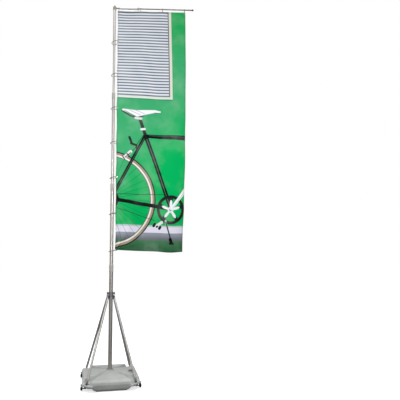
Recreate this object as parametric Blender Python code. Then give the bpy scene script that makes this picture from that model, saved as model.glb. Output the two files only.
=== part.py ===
"""A tall banner display, modelled as the assembly of its real pieces.

A rectangular flag hangs beside a telescopic mast, under a swivelling arm. The mast stands
in a blow-moulded tank that is filled with water, and four struts brace it to the tank's
corners. Metres, +Z up. The origin is on the floor under the mast, and the arm points to +X.
"""

import math

import bmesh
import bpy
from mathutils import Matrix, Vector

# Clearances
GAP = 0.0003            # between touching faces
RUN_GAP = 0.0004        # radial, between a pin or tube and what turns or slides on it

# The four telescopic tubes, from the ground up
TUBE_DIAMETERS = (0.0510, 0.0465, 0.0400, 0.0330)
TUBE_TOP_SHARES = (0.2818, 0.4926, 0.7437)  # tops of the lower three, as shares of the arm's height
TUBE_SPARE = 0.005      # top tube's end below the arm's middle
TUBE_WALL = 0.0018
TUBE_OVERLAP = 0.200    # how far each tube stays inside the one below
ROUND_SIDES = 20

# Twist locks on the tops of the three lower tubes
LOCK_WALL = 0.0030
LOCK_SKIRT = 0.072      # length over the lower tube
LOCK_NOSE = 0.020       # length over the upper tube
LOCK_CHAMFER = 0.003

# Rotating head
SLEEVE_DIAMETER = 0.0410
SLEEVE_WALL = 0.0018
SLEEVE_LENGTH = 0.560
SLEEVE_SPARE = 0.025    # sleeve's top below the arm's middle
BUSH_LENGTH = 0.030
BUSH_FLANGE = 0.004
CAP_DIAMETER = 0.032
CAP_HEIGHT = 0.024

# Arm fitting and arm
ARM_ABOVE_FLAG = 0.047  # arm's middle above the flag's top edge
FITTING_DIAMETER = 0.050
FITTING_HEIGHT = 0.044
FITTING_ROOF = 0.004
NECK_DIAMETER = 0.018
NECK_END = 0.075        # distance from the mast's axis to the start of the arm tube
SPIGOT_LENGTH = 0.030
ARM_TUBE_DIAMETER = 0.033
ARM_TUBE_WALL = 0.0015
ARM_TUBE_END = 0.352
ARM_LOCK_WALL = 0.003
ARM_LOCK_SKIRT = 0.018
ARM_LOCK_NOSE = 0.012
ROD_DIAMETER = 0.018
ROD_START = 0.200
ROD_COLLAR_LENGTH = 0.015
ARM_SPARE = 0.122       # arm's end beyond the flag's far edge
END_CAP_DIAMETER = 0.023
END_CAP_LENGTH = 0.022
END_CAP_DEPTH = 0.014

# Flag, its grommet holes, the rings on the mast and the hangers on the arm
FLAG_WIDTH = 1.000
FLAG_HEIGHT = 3.500
FLAG_THICKNESS = 0.0016
FLAG_BOTTOM = 1.670
FLAG_OFFSET = 0.045     # mast's axis to the flag's near edge
FLAG_SWING = math.radians(17.5)   # how far the flag's bottom edge has swung back
FLAG_SWING_POWER = 1.35           # the swing grows with this power of the distance down
FLAG_ROWS = 14
FLAG_COLUMN_SHARES = (0.0, 0.031, 0.27, 0.51, 0.75, 1.0)
GROMMET_RADIUS = 0.0060
GROMMET_INSET = 0.0155
RING_COUNT = 7
RING_RISE = 0.004       # lowest ring's middle above the flag's bottom edge
RING_WIRE = 0.0042      # radius
RING_RADIUS = 0.0500    # to the middle of the wire
RING_TILT = math.radians(14)
RING_PLAY = 0.0013      # the wire's middle beyond the grommet's middle
RING_STEPS = 18
HANGER_COUNT = 4
HANGER_WIRE = 0.0025    # radius
HANGER_DROP = 0.013     # flag's top edge down to the hanger's lowest bar

# Tank, whose wings clear the wheels
WHEEL_RADIUS = 0.023
WHEEL_CLEARANCE = 0.008         # above the floor, as the filled tank stands on its own foot
TANK_TURN = math.radians(7.5)   # the tank stands turned from the arm by this angle
TANK_HALF = 0.350       # middle to a side, at the widest level
TANK_FOOT_HALF = TANK_HALF - 0.034  # middle to a side, on the floor
TANK_CREST = 0.165      # height at the mast
TANK_EDGE = 0.133       # height of a lobe near its side
TANK_WALL = 0.004
VALLEY_CREST = 0.150
WING_UNDER = 2 * WHEEL_RADIUS + WHEEL_CLEARANCE + 0.003
WING_TOP = WING_UNDER + 0.025
WING_SUM = 1.7714 * TANK_HALF       # x + y along a wing's slanting outer edge
NOTCH_RADIUS = TANK_HALF - 0.015    # middle to the body's wall under a wing
LOBE_EDGE_ANGLE = 34.0  # degrees from a side's middle to where a lobe drops to the valley
WELL_RADIUS = 0.0320
WELL_FLOOR = 0.030
BOLT_POST_RADIUS = 0.010

# Filler
FILLER_X = 0.7286 * TANK_HALF
FILLER_Y = -0.2714 * TANK_HALF
FILLER_BORE = 0.038
FILLER_BOSS = 0.058
FILLER_TOP = 0.158
FILLER_CAP_HEIGHT = 0.010
FILLER_PLUG_DEPTH = 0.014
SEAL_THICKNESS = 0.002

# Socket bush round the foot of the mast
SOCKET_FLANGE_RADIUS = 0.046
SOCKET_FLANGE = 0.006

# Struts, their collar and their feet
FOOT_RADIUS = TANK_HALF + 0.066     # mast's axis to a strut's foot pin
FOOT_HEIGHT = WING_TOP + 0.025
PIVOT_RADIUS = 0.055    # mast's axis to a strut's upper pin
PIVOT_HEIGHT = 1.078
STRUT_DIAMETER = 0.028
STRUT_WALL = 0.0015
STRUT_SIDES = 14
TANG_THICKNESS = 0.010
TANG_WIDTH = 0.024
TANG_LENGTH = 0.026     # pin to the end of the tube
TANG_ROOT = 0.020       # how much of the tube's end is filled by the tang's plug
WEEP_RADIUS = 0.003     # drain hole near the foot of each strut
PIN_RADIUS = 0.004
PIN_HEAD = 0.0065       # radius
PIN_HEAD_LENGTH = 0.003
EAR_THICKNESS = 0.004
FOOT_EAR_WIDTH = 0.024
FOOT_EAR_TOP = 0.010
FOOT_PLATE = 0.003
FOOT_PLATE_LENGTH = 0.042
FOOT_PLATE_WIDTH = 0.034
COLLAR_RADIUS = 0.0350
COLLAR_BOTTOM = 1.046
COLLAR_TOP = 1.136
LUG_BOTTOM = 1.062
LUG_TOP = 1.094
LUG_REACH = 0.012       # pin to the lug's outer end
HANDLE_HEIGHT = 1.117
HANDLE_SCREW = 0.0040   # radius
HANDLE_HUB = 0.0085     # radius
HANDLE_HUB_LENGTH = 0.014
HANDLE_WING = 0.046     # tip to tip
HANDLE_WING_THICKNESS = 0.008

# Wheels under the wings
WHEEL_WIDTH = 0.024
WHEEL_ROUND = 0.004
WHEEL_X = TANK_HALF - 0.005         # inner face of the wheel
WHEEL_Y = 0.7143 * TANK_HALF
AXLE_RADIUS = 0.0040
AXLE_HEAD = 0.0070
AXLE_HEAD_LENGTH = 0.004
CHEEK_X = WHEEL_X - 0.039
CHEEK_THICKNESS = 0.006
CHEEK_HALF_WIDTH = 0.011
CARRIER_PLATE = 0.004
STUD_RADIUS = 0.0035
STUD_TOP = 0.005          # above the foot plate

FLAG_TOP = FLAG_BOTTOM + FLAG_HEIGHT
FLAG_END = FLAG_OFFSET + FLAG_WIDTH
ARM_HEIGHT = FLAG_TOP + ARM_ABOVE_FLAG
ARM_REACH = FLAG_END + ARM_SPARE
RING_SPACING = FLAG_HEIGHT / RING_COUNT
TUBE_TOPS = tuple(share * ARM_HEIGHT for share in TUBE_TOP_SHARES) + (ARM_HEIGHT - TUBE_SPARE,)
SLEEVE_TOP = ARM_HEIGHT - SLEEVE_SPARE
GROMMET_X = FLAG_OFFSET + GROMMET_INSET
TUBE_BOTTOMS = (WELL_FLOOR + GAP,) + tuple(top - TUBE_OVERLAP for top in TUBE_TOPS[:3])
SLEEVE_BOTTOM = SLEEVE_TOP - SLEEVE_LENGTH
DIAGONALS = (("fl", 225), ("fr", 315), ("br", 45), ("bl", 135))


def clear_scene():
    for thing in list(bpy.data.objects):
        bpy.data.objects.remove(thing)


def material(name, colour, roughness, metallic=0.0):
    made = bpy.data.materials.new(name)
    made.use_nodes = True
    shader = made.node_tree.nodes["Principled BSDF"]
    shader.inputs["Base Color"].default_value = (*colour, 1.0)
    shader.inputs["Roughness"].default_value = roughness
    shader.inputs["Metallic"].default_value = metallic
    return made


def place(name, mesh, finish, parent=None, location=(0, 0, 0), rotation=(0, 0, 0)):
    """A named object for a mesh, shaded smooth between its sharp edges."""
    item = bpy.data.objects.new(name, mesh)
    bpy.context.scene.collection.objects.link(item)
    if not mesh.materials:
        mesh.materials.append(finish)
    mesh.shade_smooth()
    mesh.set_sharp_from_angle(angle=math.radians(35))
    item.location = location
    item.rotation_euler = rotation
    item.parent = parent
    return item


def empty(name, parent=None, location=(0, 0, 0), rotation=(0, 0, 0)):
    item = bpy.data.objects.new(name, None)
    bpy.context.scene.collection.objects.link(item)
    item.location = location
    item.rotation_euler = rotation
    item.parent = parent
    return item


def mesh_of(name, vertices, faces):
    """A mesh with its faces turned outwards."""
    mesh = bpy.data.meshes.new(name)
    mesh.from_pydata([tuple(v) for v in vertices], [], [tuple(f) for f in faces])
    work = bmesh.new()
    work.from_mesh(mesh)
    bmesh.ops.recalc_face_normals(work, faces=work.faces)
    work.to_mesh(mesh)
    work.free()
    return mesh


def turned(name, profile, sides=ROUND_SIDES, closed=True):
    """A profile of (radius, height) points carried round the Z axis.

    A closed profile makes a ring. An open one starts and ends on the axis.
    """
    inner = profile if closed else profile[1:-1]
    angles = [2 * math.pi * k / sides for k in range(sides)]
    vertices = [(r * math.cos(a), r * math.sin(a), z) for a in angles for r, z in inner]
    count = len(inner)
    faces = []
    for k in range(sides):
        here = k * count
        after = (k + 1) % sides * count
        for i in range(count if closed else count - 1):
            j = (i + 1) % count
            faces.append((here + i, after + i, after + j, here + j))
    if not closed:
        first = len(vertices)
        vertices += [(0, 0, profile[0][1]), (0, 0, profile[-1][1])]
        for k in range(sides):
            here = k * count
            after = (k + 1) % sides * count
            faces.append((first, after, here))
            faces.append((first + 1, here + count - 1, after + count - 1))
    return mesh_of(name, vertices, faces)


def tube_profile(outer, inner, bottom, top):
    return [(inner, bottom), (outer, bottom), (outer, top), (inner, top)]


def rod_profile(radius, bottom, top):
    return [(0, bottom), (radius, bottom), (radius, top), (0, top)]


def block(name, low, high):
    """A box between two corners."""
    corners = [(x, y, z) for x in (low[0], high[0]) for y in (low[1], high[1])
               for z in (low[2], high[2])]
    faces = [(0, 1, 3, 2), (4, 6, 7, 5), (0, 4, 5, 1), (2, 3, 7, 6), (0, 2, 6, 4), (1, 5, 7, 3)]
    return mesh_of(name, corners, faces)


def extruded(name, outline, low, high):
    """A flat outline of (x, z) points given a thickness along Y."""
    count = len(outline)
    vertices = [(x, low, z) for x, z in outline] + [(x, high, z) for x, z in outline]
    faces = [tuple(range(count)), tuple(range(2 * count - 1, count - 1, -1))]
    faces += [(k, (k + 1) % count, count + (k + 1) % count, count + k) for k in range(count)]
    return mesh_of(name, vertices, faces)


def wire_loop(name, centres, normals, binormals, radius, sides=6):
    """A round wire carried along a closed line, with a ring of points at each centre."""
    turns = [2 * math.pi * (k + 0.5) / sides for k in range(sides)]
    vertices = [c + radius * (math.cos(t) * n + math.sin(t) * b)
                for c, n, b in zip(centres, normals, binormals) for t in turns]
    count = len(centres)
    faces = [(i * sides + k, (i + 1) % count * sides + k,
              (i + 1) % count * sides + (k + 1) % sides, i * sides + (k + 1) % sides)
             for i in range(count) for k in range(sides)]
    return mesh_of(name, vertices, faces)


def arc(middle_x, middle_z, radius, first, last, steps):
    """Points (x, z) along an arc, from one angle to another in degrees."""
    angles = [math.radians(first + (last - first) * k / steps) for k in range(steps + 1)]
    return [(middle_x + radius * math.cos(a), middle_z + radius * math.sin(a)) for a in angles]


def moved(mesh, matrix):
    mesh.transform(matrix)
    return mesh


def combined(name, base, *steps):
    """The base mesh after Boolean steps, each an operation and another mesh."""
    body = bpy.data.objects.new(name, base)
    bpy.context.scene.collection.objects.link(body)
    tools = []
    for operation, mesh in steps:
        tool = bpy.data.objects.new(name + "_tool", mesh)
        bpy.context.scene.collection.objects.link(tool)
        modifier = body.modifiers.new(operation.lower(), "BOOLEAN")
        modifier.operation = operation
        modifier.object = tool
        tools.append(tool)
    graph = bpy.context.evaluated_depsgraph_get()
    result = bpy.data.meshes.new_from_object(body.evaluated_get(graph))
    result.materials.clear()
    for item in [body, *tools]:
        bpy.data.objects.remove(item)
    return result


def along_x(length_start=0.0):
    """Turns a piece made along +Z so that it points along +X, from a given distance."""
    return Matrix.Translation((length_start, 0, 0)) @ Matrix.Rotation(math.pi / 2, 4, "Y")


# ---------------------------------------------------------------- tank


def mix(a, b, share):
    return a + (b - a) * share


def ramp(value, low, high):
    return min(1.0, max(0.0, (value - low) / (high - low)))


def tank_profile(degrees):
    """Outer wall at an angle from a side's middle, from the well's floor over to the foot.

    Each lobe is a 68 degree sector with a straight side. Between lobes a valley runs out to
    a wing, a low shelf whose outer edge slants across the corner.
    """
    angle = math.radians(degrees)
    lobe = 1 / math.cos(angle)
    valley = ramp(degrees, LOBE_EDGE_ANGLE + 0.5, LOBE_EDGE_ANGLE + 4.5)
    wing = ramp(degrees, LOBE_EDGE_ANGLE - 2, LOBE_EDGE_ANGLE)
    wing_edge = WING_SUM / (math.cos(angle) + math.sin(angle))
    taper = (TANK_HALF - TANK_FOOT_HALF) / WING_TOP
    side = lambda z: (TANK_HALF - taper * (WING_TOP - z)) * lobe
    levels = [WING_TOP - drop for drop in (0.0035, 0.008, 0.014, 0.0195)]
    slope = (TANK_CREST - TANK_EDGE) / (TANK_HALF - 0.03)
    return [
        (0, WELL_FLOOR),
        (WELL_RADIUS, WELL_FLOOR),
        (WELL_RADIUS, mix(TANK_CREST, VALLEY_CREST + 0.008, valley)),
        (0.21 * TANK_HALF, mix(TANK_CREST - 0.002, VALLEY_CREST, valley)),
        (0.49 * TANK_HALF, mix(TANK_CREST - slope * 0.12, mix(VALLEY_CREST, WING_TOP, 0.42), valley)),
        (0.74 * TANK_HALF, mix(TANK_CREST - slope * 0.21, mix(VALLEY_CREST, WING_TOP, 0.78), valley)),
        (mix((TANK_HALF - 0.032) * lobe, 0.97 * TANK_HALF, valley),
         mix(TANK_EDGE + 0.004, WING_TOP + 0.003, valley)),
        (mix((TANK_HALF - 0.012) * lobe, 1.07 * TANK_HALF, valley),
         mix(TANK_EDGE - 0.003, WING_TOP, valley)),
        (mix(TANK_HALF * lobe, 1.14 * TANK_HALF, valley), mix(TANK_EDGE - 0.017, WING_TOP, valley)),
        (mix(side(WING_TOP), 1.18 * TANK_HALF, valley), WING_TOP),
        (mix(side(levels[0]), wing_edge - 0.004, wing), mix(levels[0], WING_TOP - 0.001, wing)),
        (mix(side(levels[1]), wing_edge, wing), mix(levels[1], WING_TOP - 0.007, wing)),
        (mix(side(levels[2]), wing_edge, wing), mix(levels[2], WING_UNDER + 0.005, wing)),
        (mix(side(levels[3]), wing_edge - 0.005, wing), mix(levels[3], WING_UNDER, wing)),
        (mix(side(WING_UNDER), NOTCH_RADIUS, valley), WING_UNDER),
        (mix(side(0.020), NOTCH_RADIUS - 0.010, valley), 0.020),
        (mix(side(0.004) - 0.006, NOTCH_RADIUS - 0.020, valley), 0.004),
        (mix(side(0) - 0.014, NOTCH_RADIUS - 0.028, valley), 0),
        (0, 0),
    ]


def cavity_profile(degrees):
    """The water space: the outer wall's main points, moved in by the wall's thickness."""
    p = tank_profile(degrees)
    w = TANK_WALL
    side_wall = p[14][0] - 1.3 * w
    return [
        (0, WELL_FLOOR - w),
        (WELL_RADIUS + w, WELL_FLOOR - w),
        (WELL_RADIUS + w, p[2][1] - w),
        (p[4][0], p[4][1] - w),
        (p[6][0] - w, p[6][1] - 1.4 * w),
        (p[8][0] - 1.6 * w, p[8][1] - 1.2 * w),
        (p[11][0] - 1.6 * w, WING_TOP - 1.5 * w),
        (p[12][0] - 1.6 * w, WING_UNDER + 1.4 * w),
        (side_wall, WING_UNDER + 1.3 * w),
        (p[15][0] - 1.3 * w, p[15][1]),
        (p[17][0] - w, w),
        (0, w),
    ]


def lobed(name, profile_at, steps):
    """A closed shape with four equal lobes: a profile carried round, given per angle.

    steps are the angles of one eighth, in degrees from a side's middle.
    """
    eighth = list(steps)
    quarter = eighth + [90 - s for s in reversed(eighth[:-1])][:-1]
    degrees = [q + 90 * k for k in range(4) for q in quarter]
    columns = []
    for d in degrees:
        from_side = d % 90
        columns.append((math.radians(d), profile_at(min(from_side, 90 - from_side))))
    count = len(columns[0][1]) - 2
    vertices = [(r * math.cos(a), r * math.sin(a), z) for a, column in columns
                for r, z in column[1:-1]]
    faces = []
    total = len(columns)
    for k in range(total):
        here = k * count
        after = (k + 1) % total * count
        for i in range(count - 1):
            faces.append((here + i, after + i, after + i + 1, here + i + 1))
    top = len(vertices)
    vertices += [(0, 0, columns[0][1][0][1]), (0, 0, columns[0][1][-1][1])]
    for k in range(total):
        here = k * count
        after = (k + 1) % total * count
        faces.append((top, after, here))
        faces.append((top + 1, here + count - 1, after + count - 1))
    return mesh_of(name, vertices, faces)


def corner(degrees, radius, height=0.0):
    a = math.radians(degrees)
    return Vector((radius * math.cos(a), radius * math.sin(a), height))


def at_corner(degrees, profile):
    """An upright rod where a foot bracket's stud goes through a wing."""
    return moved(turned("rod", profile, 10, False), Matrix.Translation(corner(degrees, FOOT_RADIUS)))


def make_tank(base, finishes):
    outer = lobed("tank", tank_profile, (0, 16, 28, 32, 34, 36, 38.5, 45))
    cavity = lobed("cavity", cavity_profile, (0, 18, 30, 33.5, 38.5, 45))
    posts = [("DIFFERENCE", at_corner(d, rod_profile(BOLT_POST_RADIUS, 0.03, 0.12)))
             for _, d in DIAGONALS]
    cavity = combined("cavity", cavity, *posts)
    at_filler = Matrix.Translation((FILLER_X, FILLER_Y, 0))
    boss = turned("boss", rod_profile(FILLER_BOSS / 2, FILLER_TOP - 0.035, FILLER_TOP), closed=False)
    bore = turned("bore", rod_profile(FILLER_BORE / 2, FILLER_TOP - 0.060, FILLER_TOP + 0.02), closed=False)
    moved(boss, at_filler)
    moved(bore, at_filler)
    holes = [("DIFFERENCE", at_corner(d, rod_profile(STUD_RADIUS + GAP, 0.03, 0.12)))
             for _, d in DIAGONALS]
    shell = combined("tank", outer, ("UNION", boss), ("DIFFERENCE", cavity), ("DIFFERENCE", bore),
                     *holes)
    place("water_tank", shell, finishes["tank"], base)


def make_filler(base, finishes):
    plug = FILLER_BORE / 2 - RUN_GAP
    seat = FILLER_TOP + GAP
    under = seat + SEAL_THICKNESS + GAP
    top = under + FILLER_CAP_HEIGHT
    rim = FILLER_BOSS / 2 - 0.003
    profile = [(0, FILLER_TOP - FILLER_PLUG_DEPTH), (plug, FILLER_TOP - FILLER_PLUG_DEPTH), (plug, under),
               (rim, under), (rim, top - 0.002), (rim - 0.002, top), (0, top)]
    grip = block("grip", (-0.020, -0.004, under + 0.004), (0.020, 0.004, top + 0.006))
    cap = combined("filler_cap", turned("filler_cap", profile, closed=False), ("UNION", grip))
    place("filler_cap", cap, finishes["cap"], base, (FILLER_X, FILLER_Y, 0))
    seal = turned("filler_seal", tube_profile(rim - 0.002, plug + RUN_GAP, seat, seat + SEAL_THICKNESS))
    place("filler_seal", seal, finishes["rubber"], base, (FILLER_X, FILLER_Y, 0))


def make_socket(base, finishes):
    inner = TUBE_DIAMETERS[0] / 2 + RUN_GAP
    outer = WELL_RADIUS - GAP
    seat = TANK_CREST + GAP
    profile = [(inner, WELL_FLOOR + GAP), (outer, WELL_FLOOR + GAP), (outer, seat),
               (SOCKET_FLANGE_RADIUS, seat), (SOCKET_FLANGE_RADIUS - 0.002, seat + SOCKET_FLANGE),
               (inner, seat + SOCKET_FLANGE)]
    place("socket_bush", turned("socket_bush", profile), finishes["black"], base)


# ---------------------------------------------------------------- wheels and strut feet


def make_wheels(base, finishes):
    """A wheel, its axle and its carrier under each wing."""
    height = WHEEL_RADIUS + WHEEL_CLEARANCE
    half = WHEEL_WIDTH / 2
    bore = AXLE_RADIUS + RUN_GAP
    wheel = turned("wheel", [(bore, -half), (WHEEL_RADIUS - WHEEL_ROUND, -half),
                             (WHEEL_RADIUS, -half + WHEEL_ROUND), (WHEEL_RADIUS, half - WHEEL_ROUND),
                             (WHEEL_RADIUS - WHEEL_ROUND, half), (bore, half)])
    moved(wheel, along_x())
    inner_end = CHEEK_X - GAP
    outer_end = WHEEL_X + WHEEL_WIDTH + GAP
    axle = turned("axle", [(0, inner_end - AXLE_HEAD_LENGTH), (AXLE_HEAD, inner_end - AXLE_HEAD_LENGTH),
                           (AXLE_HEAD, inner_end), (AXLE_RADIUS, inner_end), (AXLE_RADIUS, outer_end),
                           (AXLE_HEAD, outer_end), (AXLE_HEAD, outer_end + AXLE_HEAD_LENGTH),
                           (0, outer_end + AXLE_HEAD_LENGTH)], 12, False)
    moved(axle, along_x(-(CHEEK_X + CHEEK_THICKNESS / 2)))
    foot = corner(45, FOOT_RADIUS)
    plate_top = WING_UNDER - GAP
    stud_top = WING_TOP + GAP + FOOT_PLATE + STUD_TOP
    plate = block("carrier", (foot.x - 0.014, WHEEL_Y - CHEEK_HALF_WIDTH, plate_top - CARRIER_PLATE),
                  (CHEEK_X + CHEEK_THICKNESS + 0.008, foot.y + 0.005, plate_top))
    cheek = extruded("cheek", [(WHEEL_Y - CHEEK_HALF_WIDTH, plate_top - CARRIER_PLATE / 2)]
                     + arc(WHEEL_Y, height, CHEEK_HALF_WIDTH, 180, 360, 6)
                     + [(WHEEL_Y + CHEEK_HALF_WIDTH, plate_top - CARRIER_PLATE / 2)],
                     -CHEEK_X - CHEEK_THICKNESS, -CHEEK_X)
    moved(cheek, Matrix.Rotation(math.pi / 2, 4, "Z"))
    on_axle = Matrix.Translation((0, WHEEL_Y, height)) @ along_x()
    between = rod_profile(AXLE_HEAD, CHEEK_X + CHEEK_THICKNESS / 2, WHEEL_X - GAP)
    spacer = moved(turned("spacer", between, 12, False), on_axle)
    stud = at_corner(45, rod_profile(STUD_RADIUS, plate_top - CARRIER_PLATE / 2, stud_top))
    bored = rod_profile(AXLE_RADIUS + RUN_GAP, CHEEK_X - 0.02, WHEEL_X + 0.01)
    axle_hole = moved(turned("axle_hole", bored, 12, False), on_axle)
    carrier = combined("carrier", plate, ("UNION", cheek), ("UNION", spacer), ("UNION", stud),
                       ("DIFFERENCE", axle_hole))
    mirrored = carrier.copy()
    moved(mirrored, Matrix.Scale(-1, 4, Vector((1, 0, 0))))
    mirrored.flip_normals()
    for name, degrees in DIAGONALS:
        a = math.radians(degrees)
        sign_x = round(math.cos(a) * math.sqrt(2))
        sign_y = round(math.sin(a) * math.sqrt(2))
        facing = 0 if sign_x > 0 else math.pi
        place("wheel_" + name, wheel, finishes["tyre"], base,
              (sign_x * (WHEEL_X + half), sign_y * WHEEL_Y, height), (0, 0, facing))
        place("axle_" + name, axle, finishes["steel"], base,
              (sign_x * (CHEEK_X + CHEEK_THICKNESS / 2), sign_y * WHEEL_Y, height), (0, 0, facing))
        shape = carrier if sign_x == sign_y else mirrored
        place("wheel_carrier_" + name, shape, finishes["black"], base,
              rotation=(0, 0, 0 if sign_y > 0 else math.pi))


def make_foot_brackets(base, finishes):
    """A plate with two ears and a riveted pin, over each wing's stud."""
    slot = TANG_THICKNESS / 2 + RUN_GAP
    seat = WING_TOP + GAP
    plate = block("foot", (-FOOT_PLATE_LENGTH / 2 - 0.004, -FOOT_PLATE_WIDTH / 2, seat),
                  (FOOT_PLATE_LENGTH / 2 - 0.004, FOOT_PLATE_WIDTH / 2, seat + FOOT_PLATE))
    outline = ([(-FOOT_EAR_WIDTH / 2, seat + FOOT_PLATE / 2), (FOOT_EAR_WIDTH / 2, seat + FOOT_PLATE / 2)]
               + arc(0, FOOT_HEIGHT, FOOT_EAR_TOP, 0, 180, 6))
    ears = [("UNION", extruded("ear", outline, *sorted((side * slot, side * (slot + EAR_THICKNESS)))))
            for side in (-1, 1)]
    pin_half = slot + EAR_THICKNESS + 0.002
    pin = moved(turned("pin", rod_profile(PIN_RADIUS, -pin_half, pin_half), 12, False),
                Matrix.Translation((0, 0, FOOT_HEIGHT)) @ Matrix.Rotation(math.pi / 2, 4, "X"))
    hole = turned("hole", rod_profile(STUD_RADIUS + GAP, 0.07, seat + FOOT_PLATE + 0.001), 10, False)
    bracket = combined("foot", plate, *ears, ("UNION", pin), ("DIFFERENCE", hole))
    for name, degrees in DIAGONALS:
        place("foot_bracket_" + name, bracket, finishes["steel"], base,
              corner(degrees, FOOT_RADIUS), (0, 0, math.radians(degrees)))


# ---------------------------------------------------------------- collar and struts


def make_collar(base, finishes):
    """A solid clamp ring with a fork for each strut, its pins and its two clamp screws."""
    slot = TANG_THICKNESS / 2 + RUN_GAP
    start = TUBE_DIAMETERS[0] / 2 + GAP
    ring = turned("collar", [(start, COLLAR_BOTTOM), (COLLAR_RADIUS, COLLAR_BOTTOM),
                             (COLLAR_RADIUS, COLLAR_TOP - 0.003), (COLLAR_RADIUS - 0.003, COLLAR_TOP),
                             (start, COLLAR_TOP)])
    moved(ring, Matrix.Rotation(-TANK_TURN, 4, "Z"))   # its facets line up with the mast's
    steps = []
    for _, degrees in DIAGONALS:
        for side in (-1, 1):
            near, far = sorted((side * slot, side * (slot + EAR_THICKNESS)))
            outline = ([(COLLAR_RADIUS - 0.004, LUG_BOTTOM), (PIVOT_RADIUS, PIVOT_HEIGHT - LUG_REACH)]
                       + arc(PIVOT_RADIUS, PIVOT_HEIGHT, LUG_REACH, -60, 60, 4)
                       + [(PIVOT_RADIUS, PIVOT_HEIGHT + LUG_REACH), (COLLAR_RADIUS - 0.004, LUG_TOP)])
            lug = extruded("lug", outline, near, far)
            steps.append(("UNION", moved(lug, Matrix.Rotation(math.radians(degrees), 4, "Z"))))
    for _, degrees in DIAGONALS:
        hole = turned("hole", rod_profile(PIN_RADIUS + RUN_GAP, -0.03, 0.03), 12, False)
        spin = (Matrix.Rotation(math.radians(degrees), 4, "Z")
                @ Matrix.Translation((PIVOT_RADIUS, 0, PIVOT_HEIGHT)) @ Matrix.Rotation(math.pi / 2, 4, "X"))
        steps.append(("DIFFERENCE", moved(hole, spin)))
    bore = turned("bore", rod_profile(HANDLE_SCREW + RUN_GAP, -0.06, 0.06), 12, False)
    steps.append(("DIFFERENCE", moved(bore, Matrix.Translation((0, 0, HANDLE_HEIGHT)) @ along_x())))
    place("strut_collar", combined("collar", ring, *steps), finishes["silver"], base)

    half = slot + EAR_THICKNESS + GAP
    end = half + PIN_HEAD_LENGTH
    pin = turned("collar_pin", [(0, -end), (PIN_HEAD, -end), (PIN_HEAD, -half), (PIN_RADIUS, -half),
                                (PIN_RADIUS, half), (PIN_HEAD, half), (PIN_HEAD, end), (0, end)], 12, False)
    moved(pin, Matrix.Rotation(math.pi / 2, 4, "X"))
    for name, degrees in DIAGONALS:
        place("collar_pin_" + name, pin, finishes["black"], base,
              corner(degrees, PIVOT_RADIUS, PIVOT_HEIGHT), (0, 0, math.radians(degrees)))

    hub_start = COLLAR_RADIUS + GAP
    hub_end = hub_start + HANDLE_HUB_LENGTH
    screw = turned("handle", [(0, start), (HANDLE_SCREW, start), (HANDLE_SCREW, hub_start),
                              (HANDLE_HUB, hub_start), (HANDLE_HUB, hub_end), (0, hub_end)], 12, False)
    moved(screw, along_x())
    wing = block("wing", (hub_end - HANDLE_WING_THICKNESS, -HANDLE_WING_THICKNESS / 2, -HANDLE_WING / 2),
                 (hub_end + 0.004, HANDLE_WING_THICKNESS / 2, HANDLE_WING / 2))
    handle = combined("handle", screw, ("UNION", wing))
    for name, facing, tilt in (("right", 0, -55), ("left", math.pi, 30)):
        place("clamp_handle_" + name, handle, finishes["black"], base, (0, 0, HANDLE_HEIGHT),
              (math.radians(tilt), 0, facing))


def make_struts(base, finishes):
    """Four braces. Each hangs on the collar's pin, and its foot hooks over the bracket's pin.

    The mesh is made hanging straight down from its upper pin, then leans outwards.
    """
    run = FOOT_RADIUS - PIVOT_RADIUS
    rise = PIVOT_HEIGHT - FOOT_HEIGHT
    length = math.hypot(run, rise)
    lean = math.atan2(run, rise)
    top = -TANG_LENGTH
    bottom = -length + TANG_LENGTH
    half = TANG_THICKNESS / 2
    body = turned("strut", rod_profile(STRUT_DIAMETER / 2, bottom, top), STRUT_SIDES, False)
    side = TANG_WIDTH / 2
    eye = [(side, top - 0.004), (side, 0)] + arc(0, 0, side, 15, 165, 6) + [(-side, 0), (-side, top - 0.004)]
    foot = ([(-side, bottom + 0.004), (-side, -length)] + arc(0, -length, side, 195, 345, 6)
            + [(side, -length), (side, bottom + 0.004)])
    fit = PIN_RADIUS + RUN_GAP
    hole = moved(turned("hole", rod_profile(fit, -0.02, 0.02), 12, False),
                 Matrix.Rotation(math.pi / 2, 4, "X"))
    hook = extruded("hook", arc(0, -length, fit, -90, 90, 6)
                    + [(-0.03, -length + fit), (-0.03, -length - fit)], -0.02, 0.02)
    hollow = rod_profile(STRUT_DIAMETER / 2 - STRUT_WALL, bottom + TANG_ROOT, top - TANG_ROOT)
    inside = turned("inside", hollow, STRUT_SIDES, False)
    weep = turned("weep", rod_profile(WEEP_RADIUS, -STRUT_DIAMETER, 0), 8, False)
    moved(weep, Matrix.Translation((0, 0, bottom + TANG_ROOT + 2 * WEEP_RADIUS))
          @ Matrix.Rotation(math.pi / 2, 4, "Y"))
    strut = combined("strut", body, ("UNION", extruded("eye", eye, -half, half)),
                     ("UNION", extruded("foot", foot, -half, half)), ("DIFFERENCE", hole),
                     ("DIFFERENCE", hook), ("DIFFERENCE", inside), ("DIFFERENCE", weep))
    for name, degrees in DIAGONALS:
        place("strut_" + name, strut, finishes["silver"], base,
              corner(degrees, PIVOT_RADIUS, PIVOT_HEIGHT), (0, -lean, math.radians(degrees)))


# ---------------------------------------------------------------- mast and head


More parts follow.
